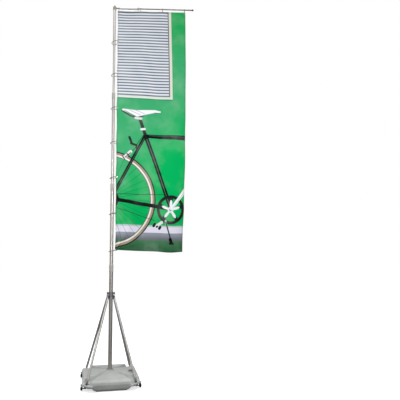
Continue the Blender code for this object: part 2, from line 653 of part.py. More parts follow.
def make_mast(finishes):
    for k, (diameter, bottom, top) in enumerate(zip(TUBE_DIAMETERS, TUBE_BOTTOMS, TUBE_TOPS)):
        tube = turned("tube", tube_profile(diameter / 2, diameter / 2 - TUBE_WALL, bottom, top))
        place(f"mast_tube_{k + 1}", tube, finishes["silver"])
    for k, top in enumerate(TUBE_TOPS[:3]):
        lower = TUBE_DIAMETERS[k] / 2 + RUN_GAP
        upper = TUBE_DIAMETERS[k + 1] / 2 + RUN_GAP
        outer = TUBE_DIAMETERS[k] / 2 + LOCK_WALL
        foot = top - LOCK_SKIRT
        nose = top + LOCK_NOSE
        lock = [(lower, foot), (outer, foot), (outer, nose - LOCK_CHAMFER), (outer - LOCK_CHAMFER, nose),
                (upper, nose), (upper, top + GAP), (lower, top + GAP)]
        place(f"twist_lock_{k + 1}", turned("lock", lock), finishes["lock"])


def make_head(finishes):
    sleeve = SLEEVE_DIAMETER / 2
    tube = TUBE_DIAMETERS[3] / 2 + RUN_GAP
    inner = sleeve - SLEEVE_WALL - GAP
    tube_walls = tube_profile(sleeve, sleeve - SLEEVE_WALL, SLEEVE_BOTTOM, SLEEVE_TOP)
    place("head_sleeve", turned("sleeve", tube_walls), finishes["silver"])
    low = SLEEVE_BOTTOM - GAP
    lower_bush = [(tube, low - BUSH_FLANGE), (sleeve, low - BUSH_FLANGE), (sleeve, low), (inner, low),
                  (inner, low + BUSH_LENGTH), (tube, low + BUSH_LENGTH)]
    place("head_bush_lower", turned("bush", lower_bush), finishes["black"])
    high = SLEEVE_TOP + GAP
    upper_bush = [(tube, high - BUSH_LENGTH), (inner, high - BUSH_LENGTH), (inner, high), (sleeve, high),
                  (sleeve, high + BUSH_FLANGE), (tube, high + BUSH_FLANGE)]
    place("head_bush_upper", turned("bush", upper_bush), finishes["black"])

    bottom = ARM_HEIGHT - FITTING_HEIGHT / 2 - 0.003
    roof = bottom + FITTING_HEIGHT
    outer = FITTING_DIAMETER / 2
    shoulder = high + BUSH_FLANGE + GAP
    shell = turned("fitting", [(0, roof), (outer - 0.003, roof), (outer, roof - 0.003), (outer, bottom),
                               (sleeve + GAP, bottom), (sleeve + GAP, shoulder), (tube, shoulder),
                               (tube, roof - FITTING_ROOF), (0, roof - FITTING_ROOF)], closed=False)
    bore = ARM_TUBE_DIAMETER / 2 - ARM_TUBE_WALL - GAP
    neck_side = NECK_DIAMETER / 2
    shoulder_side = ARM_TUBE_DIAMETER / 2
    spigot_end = NECK_END + SPIGOT_LENGTH
    neck = turned("neck", [(0, outer - 0.006), (neck_side, outer - 0.006), (neck_side, NECK_END - 0.005),
                           (shoulder_side, NECK_END - 0.002), (shoulder_side, NECK_END), (bore, NECK_END),
                           (bore, spigot_end), (0, spigot_end)], closed=False)
    moved(neck, Matrix.Translation((0, 0, ARM_HEIGHT)) @ along_x())
    place("arm_fitting", combined("fitting", shell, ("UNION", neck)), finishes["black"])

    cap = CAP_DIAMETER / 2
    seat = roof + GAP
    dome = [(0, seat), (cap, seat), (cap, seat + CAP_HEIGHT * 0.6), (cap * 0.8, seat + CAP_HEIGHT * 0.9),
            (0, seat + CAP_HEIGHT)]
    place("mast_cap", turned("cap", dome, closed=False), finishes["black"])


def make_arm(finishes):
    at_arm = Matrix.Translation((0, 0, ARM_HEIGHT)) @ along_x()
    tube = ARM_TUBE_DIAMETER / 2
    rod = ROD_DIAMETER / 2
    start = NECK_END + GAP
    sleeve = turned("arm_tube", tube_profile(tube, tube - ARM_TUBE_WALL, start, ARM_TUBE_END))
    place("arm_tube", moved(sleeve, at_arm), finishes["silver"])
    outer = tube + ARM_LOCK_WALL
    lock = [(tube + GAP, ARM_TUBE_END - ARM_LOCK_SKIRT), (outer, ARM_TUBE_END - ARM_LOCK_SKIRT),
            (outer, ARM_TUBE_END), (rod + 0.004, ARM_TUBE_END + ARM_LOCK_NOSE),
            (rod + RUN_GAP, ARM_TUBE_END + ARM_LOCK_NOSE), (rod + RUN_GAP, ARM_TUBE_END + GAP),
            (tube + GAP, ARM_TUBE_END + GAP)]
    place("arm_lock", moved(turned("arm_lock", lock), at_arm), finishes["black"])
    bore = tube - ARM_TUBE_WALL - RUN_GAP
    cap_seat = ARM_REACH - END_CAP_LENGTH + END_CAP_DEPTH
    bar = [(0, ROD_START), (bore, ROD_START), (bore, ROD_START + ROD_COLLAR_LENGTH),
           (rod, ROD_START + ROD_COLLAR_LENGTH), (rod, cap_seat), (0, cap_seat)]
    place("arm_rod", moved(turned("arm_rod", bar, 16, False), at_arm), finishes["rod"])
    cap = END_CAP_DIAMETER / 2
    mouth = ARM_REACH - END_CAP_LENGTH
    end = [(0, cap_seat + GAP), (rod + GAP, cap_seat + GAP), (rod + GAP, mouth), (cap, mouth),
           (cap, ARM_REACH - 0.004), (cap - 0.004, ARM_REACH), (0, ARM_REACH)]
    place("arm_end_cap", moved(turned("arm_end_cap", end, 16, False), at_arm), finishes["black"])


# ---------------------------------------------------------------- flag, rings and hangers


def ring_heights():
    return [FLAG_BOTTOM + RING_RISE + RING_SPACING * k for k in range(RING_COUNT)]


def hanger_places():
    reach = FLAG_WIDTH - 2 * GROMMET_INSET
    return [GROMMET_X + reach * k / (HANGER_COUNT - 1) for k in range(HANGER_COUNT)]


def ring_middle():
    """Distance from the mast's axis to a ring's middle, so that its wire hangs in its grommet."""
    return GROMMET_X + RING_PLAY - RING_RADIUS * math.cos(RING_TILT)


def make_rings(finishes):
    turns = [2 * math.pi * k / RING_STEPS for k in range(RING_STEPS)]
    outward = [Vector((math.cos(t), math.sin(t), 0)) for t in turns]
    centres = [RING_RADIUS * v for v in outward]
    up = [Vector((0, 0, 1))] * len(turns)
    ring = wire_loop("ring", centres, outward, up, RING_WIRE, 5)
    for k, height in enumerate(ring_heights()):
        place(f"mast_ring_{k + 1}", ring, finishes["ring"], None, (ring_middle(), 0, height),
              (0, -RING_TILT, 0))


def make_hangers(finishes):
    """Long links: each goes over the arm and through a grommet of the flag's top edge."""
    bend = ROD_DIAMETER / 2 + 0.0010 + HANGER_WIRE
    high = ROD_DIAMETER / 2 + GAP + HANGER_WIRE - bend
    low = FLAG_TOP - HANGER_DROP - ARM_HEIGHT + bend
    points = arc(0, high, bend, 0, 180, 6) + arc(0, low, bend, 180, 360, 6)
    centres = [Vector((0, y, z)) for y, z in points]
    normals = [Vector((0, y, z - (high if z >= high else low))).normalized() for y, z in points]
    along = [Vector((1, 0, 0))] * len(points)
    link = wire_loop("hanger", centres, normals, along, HANGER_WIRE)
    for k, distance in enumerate(hanger_places()):
        place(f"arm_hanger_{k + 1}", link, finishes["black"], None, (distance, 0, ARM_HEIGHT))


def flag_swing(height):
    """How far the flag has turned about its grommets' line at a height."""
    down = max(0.0, (FLAG_TOP - height) / FLAG_HEIGHT)
    return FLAG_SWING * down ** FLAG_SWING_POWER


def make_flag(finishes):
    """A thin sheet, flat along the arm and swung back lower down, with a hole for each grommet."""
    half = FLAG_THICKNESS / 2
    vertices = []
    for side in (-half, half):
        for row in range(FLAG_ROWS + 1):
            height = FLAG_TOP - FLAG_HEIGHT * row / FLAG_ROWS
            swing = flag_swing(height)
            out = Vector((math.cos(swing), math.sin(swing), 0))
            facing = Vector((-math.sin(swing), math.cos(swing), 0))
            for share in FLAG_COLUMN_SHARES:
                reach = FLAG_WIDTH * share - GROMMET_INSET
                vertices.append(Vector((GROMMET_X, 0, height)) + reach * out + side * facing)
    columns = len(FLAG_COLUMN_SHARES)
    count = (FLAG_ROWS + 1) * columns
    cells = [row * columns + column for row in range(FLAG_ROWS) for column in range(columns - 1)]
    faces = [(c + 1, c, c + columns, c + columns + 1) for c in cells]
    faces += [(count + c, count + c + 1, count + c + columns + 1, count + c + columns) for c in cells]
    rim = list(range(columns)) + [columns * (row + 1) - 1 for row in range(1, FLAG_ROWS + 1)]
    rim += list(range(count - 2, count - columns - 1, -1))
    rim += [columns * row for row in range(FLAG_ROWS - 1, 0, -1)]
    faces += [(a, b, count + b, count + a) for a, b in zip(rim, rim[1:] + rim[:1])]
    lift = RING_RADIUS * math.sin(RING_TILT)
    spots = [(GROMMET_X, height + lift) for height in ring_heights()]
    hang = FLAG_TOP - HANGER_DROP + HANGER_WIRE + GAP - GROMMET_RADIUS
    spots += [(distance, hang) for distance in hanger_places()]
    holes = []
    for x, z in spots:
        hole = turned("hole", rod_profile(GROMMET_RADIUS, -0.01, 0.01), 10, False)
        through = (Matrix.Translation((x, 0, z)) @ Matrix.Rotation(flag_swing(z), 4, "Z")
                   @ Matrix.Rotation(math.pi / 2, 4, "X"))
        holes.append(("DIFFERENCE", moved(hole, through)))
    place("flag", combined("flag", mesh_of("flag", vertices, faces), *holes), finishes["flag"])


def build():
    clear_scene()
    finishes = {
        "tank": material("tank", (0.36, 0.38, 0.38), 0.55),
        "cap": material("cap", (0.22, 0.23, 0.24), 0.5),
        "rubber": material("rubber", (0.02, 0.02, 0.02), 0.7),
        "black": material("black", (0.02, 0.02, 0.022), 0.45),
        "tyre": material("tyre", (0.015, 0.015, 0.016), 0.7),
        "steel": material("steel", (0.45, 0.45, 0.46), 0.35, 1.0),
        "silver": material("silver", (0.62, 0.62, 0.62), 0.32, 1.0),
        "lock": material("lock", (0.50, 0.49, 0.47), 0.4),
        "rod": material("rod", (0.10, 0.10, 0.10), 0.4),
        "ring": material("ring", (0.16, 0.155, 0.15), 0.5),
        "flag": material("flag", (0.05, 0.40, 0.16), 0.8),
    }
    base = empty("base_frame", rotation=(0, 0, TANK_TURN))
    make_tank(base, finishes)
    make_filler(base, finishes)
    make_socket(base, finishes)
    make_wheels(base, finishes)
    make_foot_brackets(base, finishes)
    make_collar(base, finishes)
    make_struts(base, finishes)
    make_mast(finishes)
    make_head(finishes)
    make_arm(finishes)
    make_rings(finishes)
    make_hangers(finishes)
    make_flag(finishes)


build()
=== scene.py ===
import math

import bmesh
import bpy
import numpy as np
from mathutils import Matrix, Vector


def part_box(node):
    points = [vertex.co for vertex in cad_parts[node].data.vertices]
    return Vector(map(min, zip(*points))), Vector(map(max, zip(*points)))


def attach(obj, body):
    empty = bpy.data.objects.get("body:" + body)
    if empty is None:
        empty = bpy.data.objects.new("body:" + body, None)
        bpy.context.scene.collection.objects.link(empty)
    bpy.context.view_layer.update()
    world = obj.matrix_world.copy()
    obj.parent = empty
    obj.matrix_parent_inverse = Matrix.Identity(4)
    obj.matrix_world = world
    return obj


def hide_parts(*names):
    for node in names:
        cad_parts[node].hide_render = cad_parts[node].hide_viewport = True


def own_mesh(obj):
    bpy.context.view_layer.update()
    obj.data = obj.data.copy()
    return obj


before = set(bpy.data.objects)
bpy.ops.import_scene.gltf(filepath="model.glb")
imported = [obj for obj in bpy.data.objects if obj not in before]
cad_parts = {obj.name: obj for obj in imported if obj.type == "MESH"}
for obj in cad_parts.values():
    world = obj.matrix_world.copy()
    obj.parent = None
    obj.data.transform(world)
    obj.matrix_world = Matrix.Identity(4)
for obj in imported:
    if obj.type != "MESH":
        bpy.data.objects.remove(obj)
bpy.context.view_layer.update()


# The water tank: a hollow, blow-moulded shell of grey polyethylene in four lobes, with a low
# wing across each corner for a strut's foot. It stands turned a little from the arm, and its
# neck for filling is cut through the right lobe.
TANK_TURN = math.radians(7.5)
TANK_HALF = 0.350
TANK_FOOT_HALF = 0.316
TANK_CREST = 0.165
LOBE_RIM = 0.133
VALLEY_CREST = 0.150
WING_TOP = 0.082
WING_UNDER = 0.057
WING_SUM = 0.620
NOTCH_RADIUS = 0.335
FILLER_PLACE = (0.255, -0.095)
FILLER_TOP = 0.158


def linear(red, green, blue):
    """A colour given from 0 to 255 as seen, turned into the shader's linear numbers."""
    seen = np.array([red, green, blue]) / 255
    light = np.where(seen > 0.04045, ((seen + 0.055) / 1.055) ** 2.4, seen / 12.92)
    return (*light.tolist(), 1.0)


class Wire:
    """A shader socket that can stand in a sum: each operator adds the node that works it out."""

    def __init__(self, socket):
        self.socket = socket

    def node(self, kind, settings=None, values=None, output=0):
        """A node of a kind: first its settings or its ramp's stops, then values or links."""
        made = self.socket.id_data.nodes.new(kind)
        for key, value in (settings or {}).items():
            if key == "stops":
                stops = made.color_ramp.elements
                for _ in value[2:]:
                    stops.new(0.5)
                for stop, (position, colour) in zip(stops, value):
                    stop.position = position
                    stop.color = colour
            else:
                setattr(made, key, value)
        for key, value in (values or {}).items():
            if isinstance(value, Wire):
                self.socket.id_data.links.new(value.socket, made.inputs[key])
            else:
                made.inputs[key].default_value = value
        return Wire(made.outputs[output])

    def maths(self, operation, *others):
        return self.node("ShaderNodeMath", {"operation": operation},
                         dict(enumerate([self, *others])))

    def __add__(self, other):
        return self.maths("ADD", other)

    def __sub__(self, other):
        return self.maths("SUBTRACT", other)

    def __mul__(self, other):
        return self.maths("MULTIPLY", other)

    def __truediv__(self, other):
        return self.maths("DIVIDE", other)

    def __rsub__(self, other):
        return self.node("ShaderNodeMath", {"operation": "SUBTRACT"}, {0: other, 1: self})

    __radd__ = __add__
    __rmul__ = __mul__

    def rise(self, low, high):
        """0 below low, 1 above high, and a smooth step between them."""
        return self.node("ShaderNodeMapRange", {"interpolation_type": "SMOOTHSTEP"},
                         {"Value": self, "From Min": low, "From Max": high})

    def blend(self, low, high):
        """The low colour where this is 0, and the high colour where it is 1."""
        return self.node("ShaderNodeMix", {"data_type": "RGBA"}, {0: self, 6: low, 7: high}, 2)

    def scaled(self, x, y, z):
        return self.node("ShaderNodeMapping", None, {"Vector": self, "Scale": (x, y, z)})

    def noise(self, scale, detail=3.0, roughness=0.5):
        return self.node("ShaderNodeTexNoise", None, {"Vector": self, "Scale": scale,
                                                      "Detail": detail, "Roughness": roughness})

    def split(self):
        """The separate X, Y and Z of a place."""
        return [self.node("ShaderNodeSeparateXYZ", None, {"Vector": self}, k) for k in range(3)]

    def into(self, socket):
        self.socket.id_data.links.new(self.socket, socket)


def new_finish(name, settings, place="Object"):
    """A material, its shader's inputs, and a Wire with the place on the piece."""
    made = bpy.data.materials.new(name)
    made.use_nodes = True
    shader = made.node_tree.nodes["Principled BSDF"].inputs
    for key, value in settings.items():
        shader[key].default_value = value
    return made, shader, Wire(made.node_tree.nodes.new("ShaderNodeTexCoord").outputs[place])


def relief(height, strength, depth, shader):
    """A height pattern shown as bumps of a depth in metres."""
    height.node("ShaderNodeBump", None, {"Strength": strength, "Distance": depth,
                                         "Height": height}).into(shader["Normal"])


def moulded(name, colour, roughness, grain=700.0, mottle=0.10):
    """Moulded plastic: mottled colour, a spark-eroded grain, and handled places a little glossier."""
    made, shader, place = new_finish(name, {"Specular IOR Level": 0.4})
    low = tuple(c * (1 - mottle) for c in colour[:3]) + (1.0,)
    high = tuple(min(1.0, c * (1 + mottle)) for c in colour[:3]) + (1.0,)
    cloudy = place.noise(14.0, 4.0)
    cloudy.rise(0.3, 0.7).blend(low, high).into(shader["Base Color"])
    (roughness + 0.12 * (place.noise(45.0) - 0.5)).into(shader["Roughness"])
    relief(place.noise(grain, 2.0), 0.25, 0.0004, shader)
    return made


def soft_corners(profile, radii, steps=4):
    """A line of points with each corner rounded.

    Each corner P becomes a curve from A to B, which lie the radius away along its two sides:
    (1-u) squared times A, plus 2u(1-u) times P, plus u squared times B. The two ends stay.
    """
    profile = np.asarray(profile, float)
    corner, before, after = profile[1:-1], profile[:-2], profile[2:]
    reach = np.asarray(radii, float).reshape(-1, *[1] * (profile.ndim - 1))
    back, ahead = before - corner, after - corner
    shorten = lambda side: np.minimum(reach / np.maximum(
        np.linalg.norm(side, axis=-1, keepdims=True), 1e-9), 0.49)
    first = corner + back * shorten(back)
    last = corner + ahead * shorten(ahead)
    u = np.linspace(0, 1, steps).reshape(1, -1, *[1] * (profile.ndim - 1))
    curve = ((1 - u) ** 2 * first[:, None] + 2 * u * (1 - u) * corner[:, None]
             + u ** 2 * last[:, None])
    return np.concatenate([profile[:1], curve.reshape(-1, *profile.shape[1:]), profile[-1:]])


def skin(name, finish, *patches, crease=35):
    """A piece made of patches, each an array of rows by columns by 3, or 5 with U and V.

    Four neighbouring points of a patch make a face. Edges that fall on each other are merged,
    so a patch whose last column repeats its first is a closed round, and a row on one point is
    a closed end. Then the faces are turned outwards.
    """
    points, faces, start = [], [], 0
    for patch in patches:
        rows, columns = patch.shape[:2]
        index = start + np.arange(rows * columns).reshape(rows, columns)
        faces.append(np.stack([index[:-1, :-1], index[:-1, 1:], index[1:, 1:], index[1:, :-1]],
                              -1).reshape(-1, 4))
        points.append(patch.reshape(rows * columns, -1))
        start += rows * columns
    points, faces = np.concatenate(points), np.concatenate(faces)
    mesh = bpy.data.meshes.new(name)
    mesh.from_pydata(points[:, :3].tolist(), [], faces.tolist())
    if points.shape[1] == 5:
        layer = mesh.uv_layers.new(name="cloth")
        layer.data.foreach_set("uv", points[faces.ravel(), 3:].ravel())
    work = bmesh.new()
    work.from_mesh(mesh)
    bmesh.ops.remove_doubles(work, verts=work.verts, dist=1e-6)
    bmesh.ops.dissolve_degenerate(work, edges=work.edges, dist=1e-7)
    bmesh.ops.recalc_face_normals(work, faces=work.faces)
    work.to_mesh(mesh)
    work.free()
    mesh.shade_smooth()
    mesh.set_sharp_from_angle(angle=math.radians(crease))
    mesh.materials.append(finish)
    piece = bpy.data.objects.new(name, mesh)
    bpy.context.scene.collection.objects.link(piece)
    return piece


def lathed(profile, sides=48):
    """A profile of radius and height carried round Z.

    x is the radius times the angle's cosine, y the radius times its sine, z the height.
    """
    profile = np.asarray(profile, float)
    angle = np.linspace(0, 2 * np.pi, sides + 1)
    angle[-1] = 0.0
    radius, height = profile[:, :1], profile[:, 1:2]
    return np.stack([radius * np.cos(angle), radius * np.sin(angle),
                     height + 0 * angle], -1)


def stood(points, at=(0, 0, 0), turn=TANK_TURN):
    """Points moved by at, then turned about the mast's axis by an angle."""
    x, y, z = np.moveaxis(points + np.asarray(at, float), -1, 0)
    return np.stack([x * math.cos(turn) - y * math.sin(turn),
                     x * math.sin(turn) + y * math.cos(turn), z], -1)


def tank_outline(degrees):
    """The shell's outline from the mast's well to the foot, at each angle round the tank.

    At q degrees from the nearest side's middle a lobe's straight side is at half the width over
    the cosine of q. Past 34 degrees each radius and height eases over to the valley's and the
    wing's, by a smooth step of q. The foot's edge lifts towards each lobe's two lower corners.
    """
    q = np.abs((degrees + 45) % 90 - 45)
    ease = lambda low, high: (lambda t: t * t * (3 - 2 * t))(np.clip((q - low) / (high - low), 0, 1))
    valley, wing = ease(34.3, 38.7), ease(31.8, 34.2)
    lift = 0.014 * ease(30.0, 34.0) * (1 - valley)
    mixed = lambda lobe_value, other, share: lobe_value + (other - lobe_value) * share
    lobe = 1 / np.cos(np.radians(q))
    taper = (TANK_HALF - TANK_FOOT_HALF) / WING_TOP
    side = lambda z: (TANK_HALF - taper * (WING_TOP - z)) * lobe
    wing_edge = WING_SUM / (np.cos(np.radians(q)) + np.sin(np.radians(q)))
    slope = (TANK_CREST - LOBE_RIM) / (TANK_HALF - 0.03)
    rows = [
        (0, 0.030, 0),
        (0.032, 0.030, 0.002),
        (0.032, mixed(TANK_CREST, VALLEY_CREST + 0.008, valley), 0.002),
        (0.0735, mixed(TANK_CREST - 0.002, VALLEY_CREST, valley), 0.03),
        (0.1715, mixed(TANK_CREST - slope * 0.12, mixed(VALLEY_CREST, WING_TOP, 0.42), valley), 0.04),
        (0.259, mixed(TANK_CREST - slope * 0.21, mixed(VALLEY_CREST, WING_TOP, 0.78), valley), 0.03),
        (mixed((TANK_HALF - 0.032) * lobe, 0.3395, valley),
         mixed(LOBE_RIM + 0.004, WING_TOP + 0.003, valley), 0.02),
        (mixed((TANK_HALF - 0.012) * lobe, 0.3745, valley),
         mixed(LOBE_RIM - 0.003, WING_TOP, valley), 0.012),
        (mixed(TANK_HALF * lobe, 0.399, valley), mixed(LOBE_RIM - 0.017, WING_TOP, valley), 0.012),
        (mixed(side(WING_TOP), 0.413, valley), WING_TOP, 0.004),
        (mixed(side(0.0785), wing_edge - 0.004, wing), mixed(0.0785, WING_TOP - 0.001, wing), 0.003),
        (mixed(side(0.074), wing_edge, wing), mixed(0.074, WING_TOP - 0.007, wing), 0.004),
        (mixed(side(0.068), wing_edge, wing), mixed(0.068, WING_UNDER + 0.005, wing), 0.004),
        (mixed(side(0.0625), wing_edge - 0.005, wing), mixed(0.0625, WING_UNDER, wing), 0.003),
        (mixed(side(WING_UNDER), NOTCH_RADIUS, valley), WING_UNDER, 0.004),
        (mixed(side(0.020), NOTCH_RADIUS - 0.010, valley), 0.020 + 0.9 * lift, 0.012),
        (mixed(side(0.004) - 0.006, NOTCH_RADIUS - 0.020, valley), 0.004 + lift, 0.006),
        (mixed(side(0) - 0.014, NOTCH_RADIUS - 0.028, valley), lift, 0.005),
        (0, 0.0, 0),
    ]
    spread = lambda value: value + 0 * q
    outline = np.array([[spread(radius), spread(height)] for radius, height, _ in rows])
    line = soft_corners(np.moveaxis(outline, 1, 2), [radius for _, _, radius in rows[1:-1]], 5)
    angle = np.radians(degrees)
    return np.stack([line[..., 0] * np.cos(angle), line[..., 0] * np.sin(angle), line[..., 1]], -1)


def cut(piece, *steps):
    """The piece after Boolean steps, each an operation and a tool that is then removed."""
    for operation, tool in steps:
        change = piece.modifiers.new(operation, "BOOLEAN")
        change.operation = operation
        change.object = tool
    shaped = bpy.data.meshes.new_from_object(
        piece.evaluated_get(bpy.context.evaluated_depsgraph_get()))
    piece.modifiers.clear()
    piece.data = shaped
    for _, tool in steps:
        bpy.data.objects.remove(tool)
    shaped.shade_smooth()
    shaped.set_sharp_from_angle(angle=math.radians(30))


def tank_plastic():
    """Weathered grey polyethylene: cloudy colour, dust low down, painted shade faintly in the creases
    between the lobes, pale scuffs, a pebbled skin."""
    made, shader, place = new_finish("tank_polyethylene", {"Specular IOR Level": 0.45})
    own = place.node("ShaderNodeMapping", None, {"Vector": place, "Rotation": (0, 0, -TANK_TURN)})
    x, y, height = own.split()
    x, y = x.maths("ABSOLUTE"), y.maths("ABSOLUTE")
    off_side = x.maths("MINIMUM", y).maths("ARCTAN2", x.maths("MAXIMUM", y))
    out = (x * x + y * y).maths("SQRT")
    # painted shade: a faint strip along each crease between the lobes, darkened in the colour
    crease = off_side.rise(0.595, 0.64) * (1 - off_side.rise(0.645, 0.675)) * out.rise(0.08, 0.16)
    cloudy = place.noise(5.0, 5.0, 0.6).rise(0.32, 0.68).blend(linear(178, 181, 178),
                                                              linear(192, 194, 190))
    dust = (1 - height.rise(0.006, 0.045)) * (0.45 + 0.5 * place.noise(22.0, 4.0))
    # dust low down, then painted shade laid faintly along the creases
    dust_and_crease_shade = (0.15 * crease).blend(dust.blend(cloudy, linear(92, 88, 82)), linear(98, 99, 100))
    scuff = place.scaled(1, 1, 9).noise(26.0, 6.0, 0.75).rise(0.63, 0.72)
    (0.45 * scuff).blend(dust_and_crease_shade, linear(214, 216, 213)).into(shader["Base Color"])
    (0.46 + 0.10 * place.noise(60.0) + 0.10 * scuff).into(shader["Roughness"])
    relief(place.noise(420.0, 2.0) + 0.8 * place.noise(9.0, 1.0), 0.35, 0.0007, shader)
    return made


half_lobe = np.concatenate([np.arange(0, 28, 4.0), [28, 30, 31], np.arange(31.5, 39.5, 0.5), [40, 42.5]])
quarter = np.concatenate([half_lobe, [45], 90 - half_lobe[:0:-1]])
round_tank = np.concatenate([quarter + 90 * k for k in range(4)] + [[360.0]])
tank_grey = tank_plastic()
tank = skin("tank_shell", tank_grey, stood(tank_outline(round_tank)))
neck_edge = soft_corners([(0, FILLER_TOP - 0.035), (0.029, FILLER_TOP - 0.035), (0.029, FILLER_TOP),
                          (0, FILLER_TOP)], [0.001, 0.0015])
neck_bore = [(0, FILLER_TOP - 0.060), (0.0190, FILLER_TOP - 0.060), (0.0190, FILLER_TOP + 0.02),
             (0, FILLER_TOP + 0.02)]
cut(tank, ("UNION", skin("neck", tank_grey, stood(lathed(neck_edge), (*FILLER_PLACE, 0)))),
    ("DIFFERENCE", skin("bore", tank_grey, stood(lathed(neck_bore), (*FILLER_PLACE, 0)))))
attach(tank, "root")
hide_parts("water_tank")


# The filler cap: a moulded plug cap with a ribbed rim and a raised bar to turn it by, pressed
# down on a flat rubber seal. It lifts off for filling.
CAP_RIM = 0.026
CAP_UNDER = FILLER_TOP + 0.0026
CAP_TOP = CAP_UNDER + 0.010

cap_plastic = moulded("cap_polypropylene", linear(120, 123, 125), 0.42)
cap_side = soft_corners([(0, FILLER_TOP - 0.014), (0.0186, FILLER_TOP - 0.014), (0.0186, CAP_UNDER),
                         (CAP_RIM, CAP_UNDER), (CAP_RIM, CAP_TOP), (CAP_RIM - 0.006, CAP_TOP),
                         (CAP_RIM - 0.008, CAP_TOP - 0.0015), (0, CAP_TOP - 0.0015)],
                        [0.001, 0.0004, 0.0006, 0.002, 0.001, 0.0006])
cap_body = lathed(cap_side, 120)
at_rim = np.hypot(cap_body[..., 0], cap_body[..., 1]) > CAP_RIM - 0.0008
ribs = 1 - 0.035 * at_rim * (np.cos(np.linspace(0, 2 * np.pi, 121) * 40) > 0)
ribs[:, -1] = ribs[:, 0]
cap_body[..., :2] *= ribs[..., None]


def bar(half_length, half_width, low, high, rounding=0.45):
    """A bar with rounded ends and top, lying along X.

    Each level is a stadium outline: x is the half length times the signed square root of the
    angle's cosine, y the half width times that of its sine. Levels shrink towards the top.
    """
    angle = np.linspace(0, 2 * np.pi, 49)
    angle[-1] = 0.0
    shape = np.stack([half_length * np.sign(np.cos(angle)) * np.abs(np.cos(angle)) ** 0.5,
                      half_width * np.sign(np.sin(angle)) * np.abs(np.sin(angle)) ** 0.5], -1)
    levels = np.array([(0, low), (1, low), (1, high - (high - low) * rounding),
                       (0.93, high - (high - low) * 0.12), (0.8, high), (0, high)])
    shrink = levels[:, 0][:, None, None] * shape[None]
    inset = np.where(levels[:, 0] > 0, (1 - levels[:, 0]) * half_width, 0)[:, None]
    x = np.where(levels[:, :1] > 0, shape[None, :, 0] - np.sign(shape[None, :, 0]) * inset, 0)
    return np.stack([x, shrink[..., 1], levels[:, 1][:, None] + 0 * angle], -1)


cap = skin("filler_cap_turned", cap_plastic, stood(cap_body, (*FILLER_PLACE, 0)),
           stood(bar(0.0175, 0.004, CAP_TOP - 0.003, CAP_TOP + 0.006), (*FILLER_PLACE, 0)))
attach(cap, "filler_cap")
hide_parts("filler_cap")

seal_rubber = moulded("seal_rubber", linear(38, 38, 39), 0.75, 500.0)
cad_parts["filler_seal"].material_slots[0].material = seal_rubber


# The socket bush: a flanged sleeve of grey nylon that fills the tank's well round the foot of
# the mast and takes the rub of the aluminium.
bush_nylon = moulded("bush_nylon", linear(150, 151, 149), 0.48)
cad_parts["socket_bush"].material_slots[0].material = bush_nylon


# The wheels: four solid rubber wheels with grooved treads and a nylon centre, each on a zinc
# plated axle in a black carrier screwed up under a wing. They touch the floor when it is tipped.
WHEEL_RADIUS = 0.023
WHEEL_HALF = 0.012
WHEEL_PLACE = (0.357, 0.250, 0.031)
CORNERS = (("fl", -1, -1), ("fr", 1, -1), ("br", 1, 1), ("bl", -1, 1))


def rubber_finish():
    """Black rubber, with dust in the middle of the tread, and a fine skin."""
    made, shader, place = new_finish("wheel_rubber", {"Specular IOR Level": 0.3})
    dust = place.noise(120.0, 5.0).rise(0.45, 0.7)
    (0.5 * dust).blend(linear(34, 34, 35), linear(84, 80, 75)).into(shader["Base Color"])
    (0.72 + 0.15 * dust).into(shader["Roughness"])
    relief(place.noise(1500.0), 0.3, 0.0003, shader)
    return made


def plated(name, colour, roughness):
    """Zinc plate: spangled grey metal, duller where it has bloomed."""
    made, shader, place = new_finish(name, {"Metallic": 1.0})
    spangle = place.node("ShaderNodeTexVoronoi", None, {"Vector": place, "Scale": 260.0})
    dark = tuple(c * 0.72 for c in colour[:3]) + (1.0,)
    spangle.rise(0.0, 0.9).blend(dark, colour).into(shader["Base Color"])
    (roughness + 0.25 * place.noise(70.0, 4.0).rise(0.45, 0.75)).into(shader["Roughness"])
    relief(place.noise(900.0), 0.2, 0.0002, shader)
    return made


tread = [(0.0044, -WHEEL_HALF), (0.0095, -WHEEL_HALF), (0.0105, -WHEEL_HALF + 0.002),
         (0.0165, -WHEEL_HALF + 0.002), (0.0180, -WHEEL_HALF), (WHEEL_RADIUS - 0.002, -WHEEL_HALF),
         (WHEEL_RADIUS, -WHEEL_HALF + 0.002)]
grooves = [(WHEEL_RADIUS - depth, middle + along) for middle in (-0.005, 0.0, 0.005)
           for along, depth in ((-0.0012, 0), (-0.0007, 0.0012), (0.0007, 0.0012), (0.0012, 0))]
whole_tread = tread + grooves + [(radius, -height) for radius, height in reversed(tread)]
wheel_profile = np.array(whole_tread + whole_tread[:1])
wheel_rubber = rubber_finish()
zinc = plated("zinc_plate", linear(176, 178, 182), 0.34)
carrier_nylon = moulded("carrier_nylon", linear(48, 48, 50), 0.5)
wheel_round = lathed(wheel_profile, 64)[..., [2, 0, 1]]
for corner, side, end in CORNERS:
    wheel = skin("wheel_rubber_" + corner, wheel_rubber,
                 stood(wheel_round, (side * WHEEL_PLACE[0], end * WHEEL_PLACE[1], WHEEL_PLACE[2])))
    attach(wheel, "wheel_" + corner)
    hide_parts("wheel_" + corner)
    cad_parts["axle_" + corner].material_slots[0].material = zinc
    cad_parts["wheel_carrier_" + corner].material_slots[0].material = carrier_nylon


# The foot brackets: pressed steel plates with two ears and a riveted pin, zinc plated, one on
# each wing. A strut's open foot hooks over the pin.
for corner, _, _ in CORNERS:
    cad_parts["foot_bracket_" + corner].material_slots[0].material = zinc
